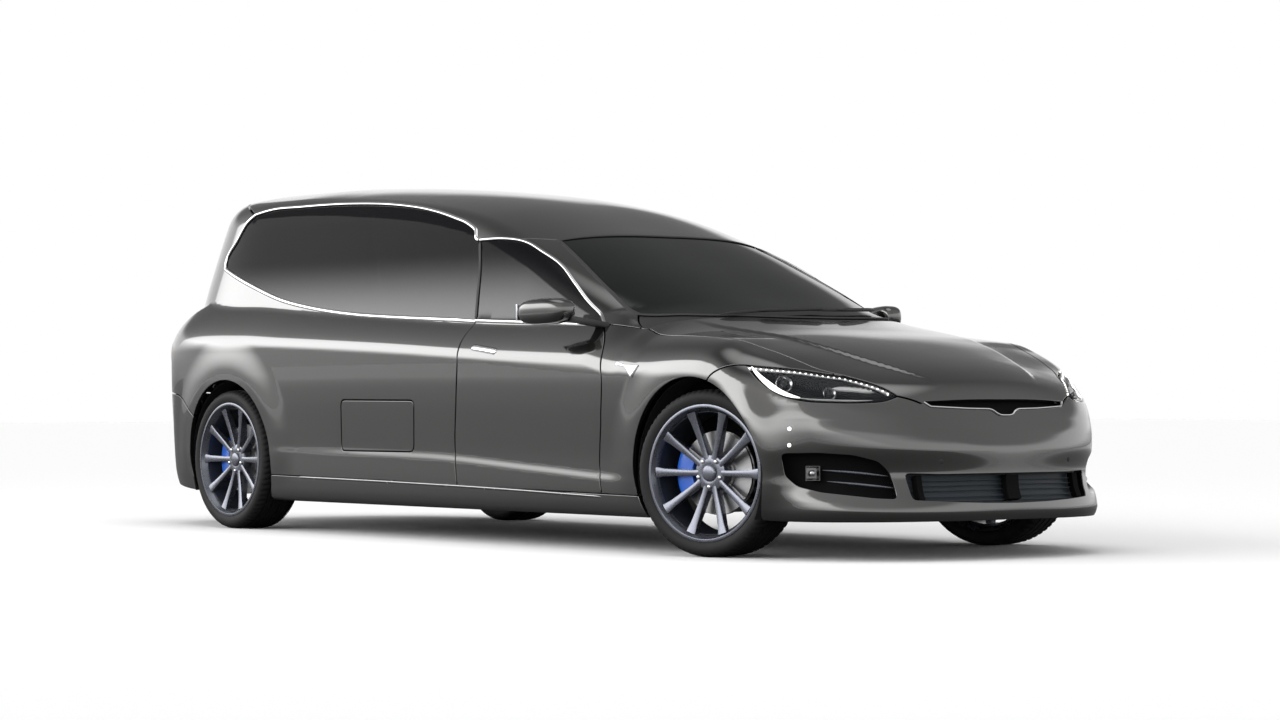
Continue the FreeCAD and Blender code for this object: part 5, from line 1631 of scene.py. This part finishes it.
dash = across_car([(-0.60, 0.64), (-0.60, 0.90), (-0.76, 0.962), (-0.94, 0.960), (-1.07, 0.90), (-1.05, 0.80),
                   (-0.90, 0.64)], -0.775, 0.775, 0.045)
hood = across_car([(-0.86, 0.93), (-0.90, 0.990), (-1.05, 0.985), (-1.08, 0.93)], 0.22, 0.55, 0.02)
console = slab((-1.93, -0.105, 0.31), (-1.02, 0.105, 0.565), 0.03)
hard("dashboard", join([dash, hood]), "black leather", "body", ["dashboard"], 50)
hard("console", console, "door lining")
hard("console lid", slab((-1.88, -0.09, 0.566), (-1.45, 0.09, 0.60), 0.02), "black leather")
SCREEN_LEAN = 0.5  # radians
screen, screen_groups = slab((-0.006, -0.125, -0.15), (0.006, 0.125, 0.15), 0.004)
lean_back = np.array([[np.cos(SCREEN_LEAN), 0, np.sin(SCREEN_LEAN)], [0, 1, 0],
                      [-np.sin(SCREEN_LEAN), 0, np.cos(SCREEN_LEAN)]])
hard("centre screen", (screen @ lean_back + (-1.085, 0, 0.79), screen_groups), "gloss black")
vents = [slab((-1.082, y - 0.07, 0.868), (-1.055, y + 0.07, 0.892), 0.006) for y in (-0.62, -0.2, 0.2, 0.66)]
hard("dashboard vents", join(vents), "satin black plastic")

wheel_joint = JOINTS["steering_wheel_turn"]
wheel_at = np.array(wheel_joint["pos_m"]) - (DATUM, 0, 0)
wheel_axis = np.array(wheel_joint["axis"], float)
wheel_axis *= -np.sign(wheel_axis[0])
angle = np.linspace(0, 2 * np.pi, 17)
grip = turned(np.stack([0.186 + 0.0155 * np.cos(angle), 0.0155 * np.sin(angle)], 1), 72)
boss = turned([(1e-4, -0.034), (0.050, -0.034), (0.062, -0.014), (0.060, 0.006), (0.040, 0.016),
               (1e-4, 0.019), (1e-4, -0.034)], 48)
PARKED_ANGLE, STEER_RATIO = 14.5, 12
STEER_TURN = np.radians(PARKED_ANGLE * STEER_RATIO)
arms = []
for turn_by in np.array([0, np.pi, -np.pi / 2]):
    t = np.linspace(0.045, 0.180, 8)
    ring = np.array([(-1, 0.2), (-0.8, 1), (0.8, 1), (1, 0.2), (0.8, -1), (-0.8, -1)])
    width = 0.020 + 0.010 * np.cos((t - 0.045) / 0.135 * np.pi)
    rings = np.stack([t[:, None] + 0 * ring[None, :, 0], 0.007 * ring[None, :, 1] + 0 * t[:, None],
                      width[:, None] * ring[None, :, 0]], -1)
    arms.append(outwards(tube(spun(rings, turn_by + STEER_TURN))))
column = turned([(1e-4, -0.108), (0.018, -0.108), (0.019, -0.02), (1e-4, -0.02), (1e-4, -0.108)], 24)
wheel_and_column = join([outwards(grip), outwards(boss), outwards(column)] + arms)
hard("steering wheel", aimed(wheel_and_column, wheel_at, wheel_axis), "black leather", "steering_wheel",
     ["steering_wheel"], 50)

bulkhead = slab((-0.562, -0.79, 0.31), (-0.536, 0.79, 0.925), 0.008)
hard("bulkhead", bulkhead, "underbody shield")
partition = slab((-2.040, -0.775, 0.31), (-2.020, 0.775, 1.05), 0.006)
hard("cab partition", partition, "carpet", "body", ["cab_partition"])
roof_flat = inset(whole("dome", *roof_seams), 0.03)
hard("headlining", skin_panel(roof_flat, "dome", gap=0, thickness=0.004, roll=0.001, step=0.04,
                              offset=-0.030), "headliner")
LINING_EDGES = [seam("profile", [(-1.80, 0.45), (-3.25, 0.45)]),
                seam("profile", [(-3.25, 0.45), (-3.45, 0.80), (-4.05, 0.80)], smooth=False),
                seam("profile", [(-4.05, 0.80), (-4.05, 1.28)]),
                seam("profile", [(-4.05, 1.28), (-3.756, 1.20), (-3.187, 1.085), (-2.365, 1.02),
                                 (-1.80, 0.99)]),
                seam("profile", [(-1.80, 0.99), (-1.80, 0.45)])]
side_lining = skin_panel(inset(outline("roll", *LINING_EDGES), 0.005), "roll", gap=0, thickness=0.006,
                         roll=0.002, step=0.04, offset=-0.045)
hard("load space side linings", both(side_lining), "carpet")
inner_mirror = pod((-1.16, 0.0, 1.225), (0.014, 0.115, 0.032), 0.6, 16)
STEM_RING = ((-0.008, -0.008), (0.008, -0.008), (0.008, 0.008), (-0.008, 0.008))
STEM_LINE = ((-1.150, 1.235), (-1.10, 1.262), (-1.06, 1.285))
stem = tube(np.array([[(x, dy, z + dz) for dy, dz in STEM_RING] for x, z in STEM_LINE]))
hard("interior mirror", join([inner_mirror, outwards(stem)]), "satin black plastic")

# %% [markdown]
# The deck is a walnut board with two steel rails, seven rollers across it to run a coffin in on, and
# six stop pins to hold it.

# %% Coffin deck
DECK_TOP, DECK_THICK = 0.720, 0.030
deck_low, deck_high = (-4.41, -0.54), (-2.08, 0.54)
hard("coffin deck board", slab((*deck_low, DECK_TOP - DECK_THICK), (*deck_high, DECK_TOP), 0.006),
     "dark walnut", "body", ["coffin_deck"])
rails, rollers = [], []
for y in (-0.30, 0.30):
    line = np.stack([np.linspace(-4.36, -2.14, 12), np.full(12, y), np.full(12, DECK_TOP)], 1)
    rails.append(strip(line, oval(0.030, 0.006), up=(0, 0, 1)))
pin_points, pin_groups = turned([(1e-4, 0), (0.016, 0), (0.016, 0.004), (0.009, 0.006), (0.009, 0.045),
                                 (0.006, 0.05), (1e-4, 0.05), (1e-4, 0)], 20)
for x in (-4.2, -3.2, -2.35):
    for y in (-0.42, 0.42):
        rails.append(aimed((pin_points, pin_groups), (x, y, DECK_TOP), (0.0, 0.001, 1.0)))
roller_points, roller_groups = turned([(1e-4, -0.2), (0.010, -0.2), (0.011, -0.195), (0.011, 0.195),
                                       (0.010, 0.2), (1e-4, 0.2), (1e-4, -0.2)], 20)
for x in np.linspace(-4.34, -2.2, 7):
    rollers.append(outwards((roller_points + (x, 0, DECK_TOP + 0.002), roller_groups)))
hard("deck rails and pins", join([outwards(r) for r in rails] + rollers), "steel")

# %% [markdown]
# ## Seats
# A seat's foam is blown up like a real one: a rounded block is remeshed, cloth with a little pressure
# swells it, held along its seams, and the swelling is limited. The right seat is the left one mirrored.

# %% Blow up the cushions
def foam(name, low, high, radius, lean=0.0, hold=(), limit=0.026, voxel=0.016):
    """A cushion from a rounded block between two corners, leant back about its foot, and held where a
    seam crosses it: hold is pairs of (axis, place). Gives points and faces."""
    points, groups = slab(low, high, radius, 3)
    mesh = bpy.data.meshes.new(name)
    mesh.from_pydata(points.tolist(), [], [tuple(f) for faces, _ in groups for f in faces.tolist()])
    thing = bpy.data.objects.new(name, mesh)
    bpy.context.collection.objects.link(thing)
    remesh = thing.modifiers.new("remesh", "REMESH")
    remesh.mode, remesh.voxel_size = "VOXEL", voxel
    bpy.context.view_layer.update()
    plain = bpy.data.meshes.new_from_object(thing.evaluated_get(bpy.context.evaluated_depsgraph_get()))
    thing.modifiers.clear()
    thing.data = plain
    start = np.empty(len(plain.vertices) * 3)
    plain.vertices.foreach_get("co", start)
    start = start.reshape(-1, 3)
    if hold:
        held = np.zeros(len(start))
        for axis, place in hold:
            held = np.maximum(held, np.abs(start[:, axis] - place) < voxel * 0.7)
        held = np.maximum(held, start[:, 2] < start[:, 2].min() + voxel * 1.2)
        group = thing.vertex_groups.new(name="seams")
        group.add(np.flatnonzero(held).tolist(), 1.0, "ADD")
        cloth = thing.modifiers.new("cloth", "CLOTH")
        cloth.settings.use_pressure = True
        cloth.settings.uniform_pressure_force = 4
        cloth.settings.vertex_group_mass = "seams"
        cloth.settings.effector_weights.gravity = 0
        cloth.settings.quality = 4
        for step in range(1, 21):
            bpy.context.scene.frame_set(step)
        blown = thing.evaluated_get(bpy.context.evaluated_depsgraph_get()).data
        after = np.empty_like(start).ravel()
        blown.vertices.foreach_get("co", after)
        move = after.reshape(-1, 3) - start
        far = np.linalg.norm(move, axis=1, keepdims=True)
        start = start + move * np.minimum(1, limit / np.maximum(far, 1e-9))
        bpy.context.scene.frame_set(1)
    loops = np.empty(len(plain.loops), np.int32)
    plain.loops.foreach_get("vertex_index", loops)
    foot = (low[0] + high[0]) / 2, low[2]
    c, s = np.cos(lean), np.sin(lean)
    x, z = start[:, 0] - foot[0], start[:, 2] - foot[1]
    leant = np.stack([foot[0] + x * c - z * s, start[:, 1], foot[1] + x * s + z * c], 1)
    bpy.data.objects.remove(thing)
    return leant, [(loops.reshape(-1, 4), None)]


SEAT_Y = 0.385
cushions = {"cushion": foam("cushion", (-1.80, SEAT_Y - 0.245, 0.345), (-1.32, SEAT_Y + 0.245, 0.475), 0.05,
                            0.05, ((1, SEAT_Y - 0.15), (1, SEAT_Y + 0.15), (0, -1.56))),
            "backrest": foam("backrest", (-1.865, SEAT_Y - 0.235, 0.50), (-1.755, SEAT_Y + 0.235, 1.00),
                             0.045, 0.16, ((1, SEAT_Y - 0.14), (1, SEAT_Y + 0.14), (2, 0.75))),
            "headrest": foam("headrest", (-1.975, SEAT_Y - 0.12, 1.010), (-1.895, SEAT_Y + 0.12, 1.145),
                             0.035, 0.05, ((1, SEAT_Y - 0.12),), limit=0.010, voxel=0.011)}
first = True
for side_name, side in SIDES.items():
    for part, shape in cushions.items():
        thing = panel(f"{side_name} seat {part}", on_side(shape, side), "body", "black leather",
                      ["seats"] if first else ())
        finer = thing.modifiers.new("finer", "SUBSURF")
        finer.levels = finer.render_levels = 1
        first = False
seat_base = slab((-1.80, SEAT_Y - 0.22, 0.305), (-1.34, SEAT_Y + 0.22, 0.345), 0.012)
POST_RING = ((-0.006, -0.006), (0.006, -0.006), (0.006, 0.006), (-0.006, 0.006))
posts = [tube(np.array([[(x + dx, y + dy, z) for dx, dy in POST_RING]
                        for x, z in ((-1.915, 0.97), (-1.93, 1.03))]))
         for y in (SEAT_Y - 0.06, SEAT_Y + 0.06)]
frames_and_posts = both(join([seat_base] + [outwards(p) for p in posts]))
hard("seat frames", frames_and_posts, "satin black plastic")

# %% [markdown]
# ## What is carried over
# The floor, battery, drive units, suspension and load frame are shown as the frame has them, each in
# its own finish.

# %% Finishes for carried-over pieces
CARRIED = {"floor_pan": ("carpet", "underbody"), "battery_pack": ("cast aluminium", "underbody"),
           "drive_units": ("cast aluminium", "steel"), "front_suspension": ("cast iron", "steel"),
           "rear_suspension": ("cast iron", "steel"), "deck_supports": ("satin black plastic", "steel"),
           "wheel_liners": ("liner felt", "black_plastic"), "front_tub": ("carpet", "black_plastic"),
           "knuckle_front_left": ("cast iron", "steel"), "knuckle_front_right": ("cast iron", "steel")}
for node, (finish, slot) in CARRIED.items():
    piece = frame["nodes"][node]
    piece.data.materials.clear()
    piece.data.materials.append(wear(finish))
left_over = sorted(name for name, piece in frame["nodes"].items() if not piece.hide_render
                   and name not in CARRIED)
print("carried over without a finish:", left_over)
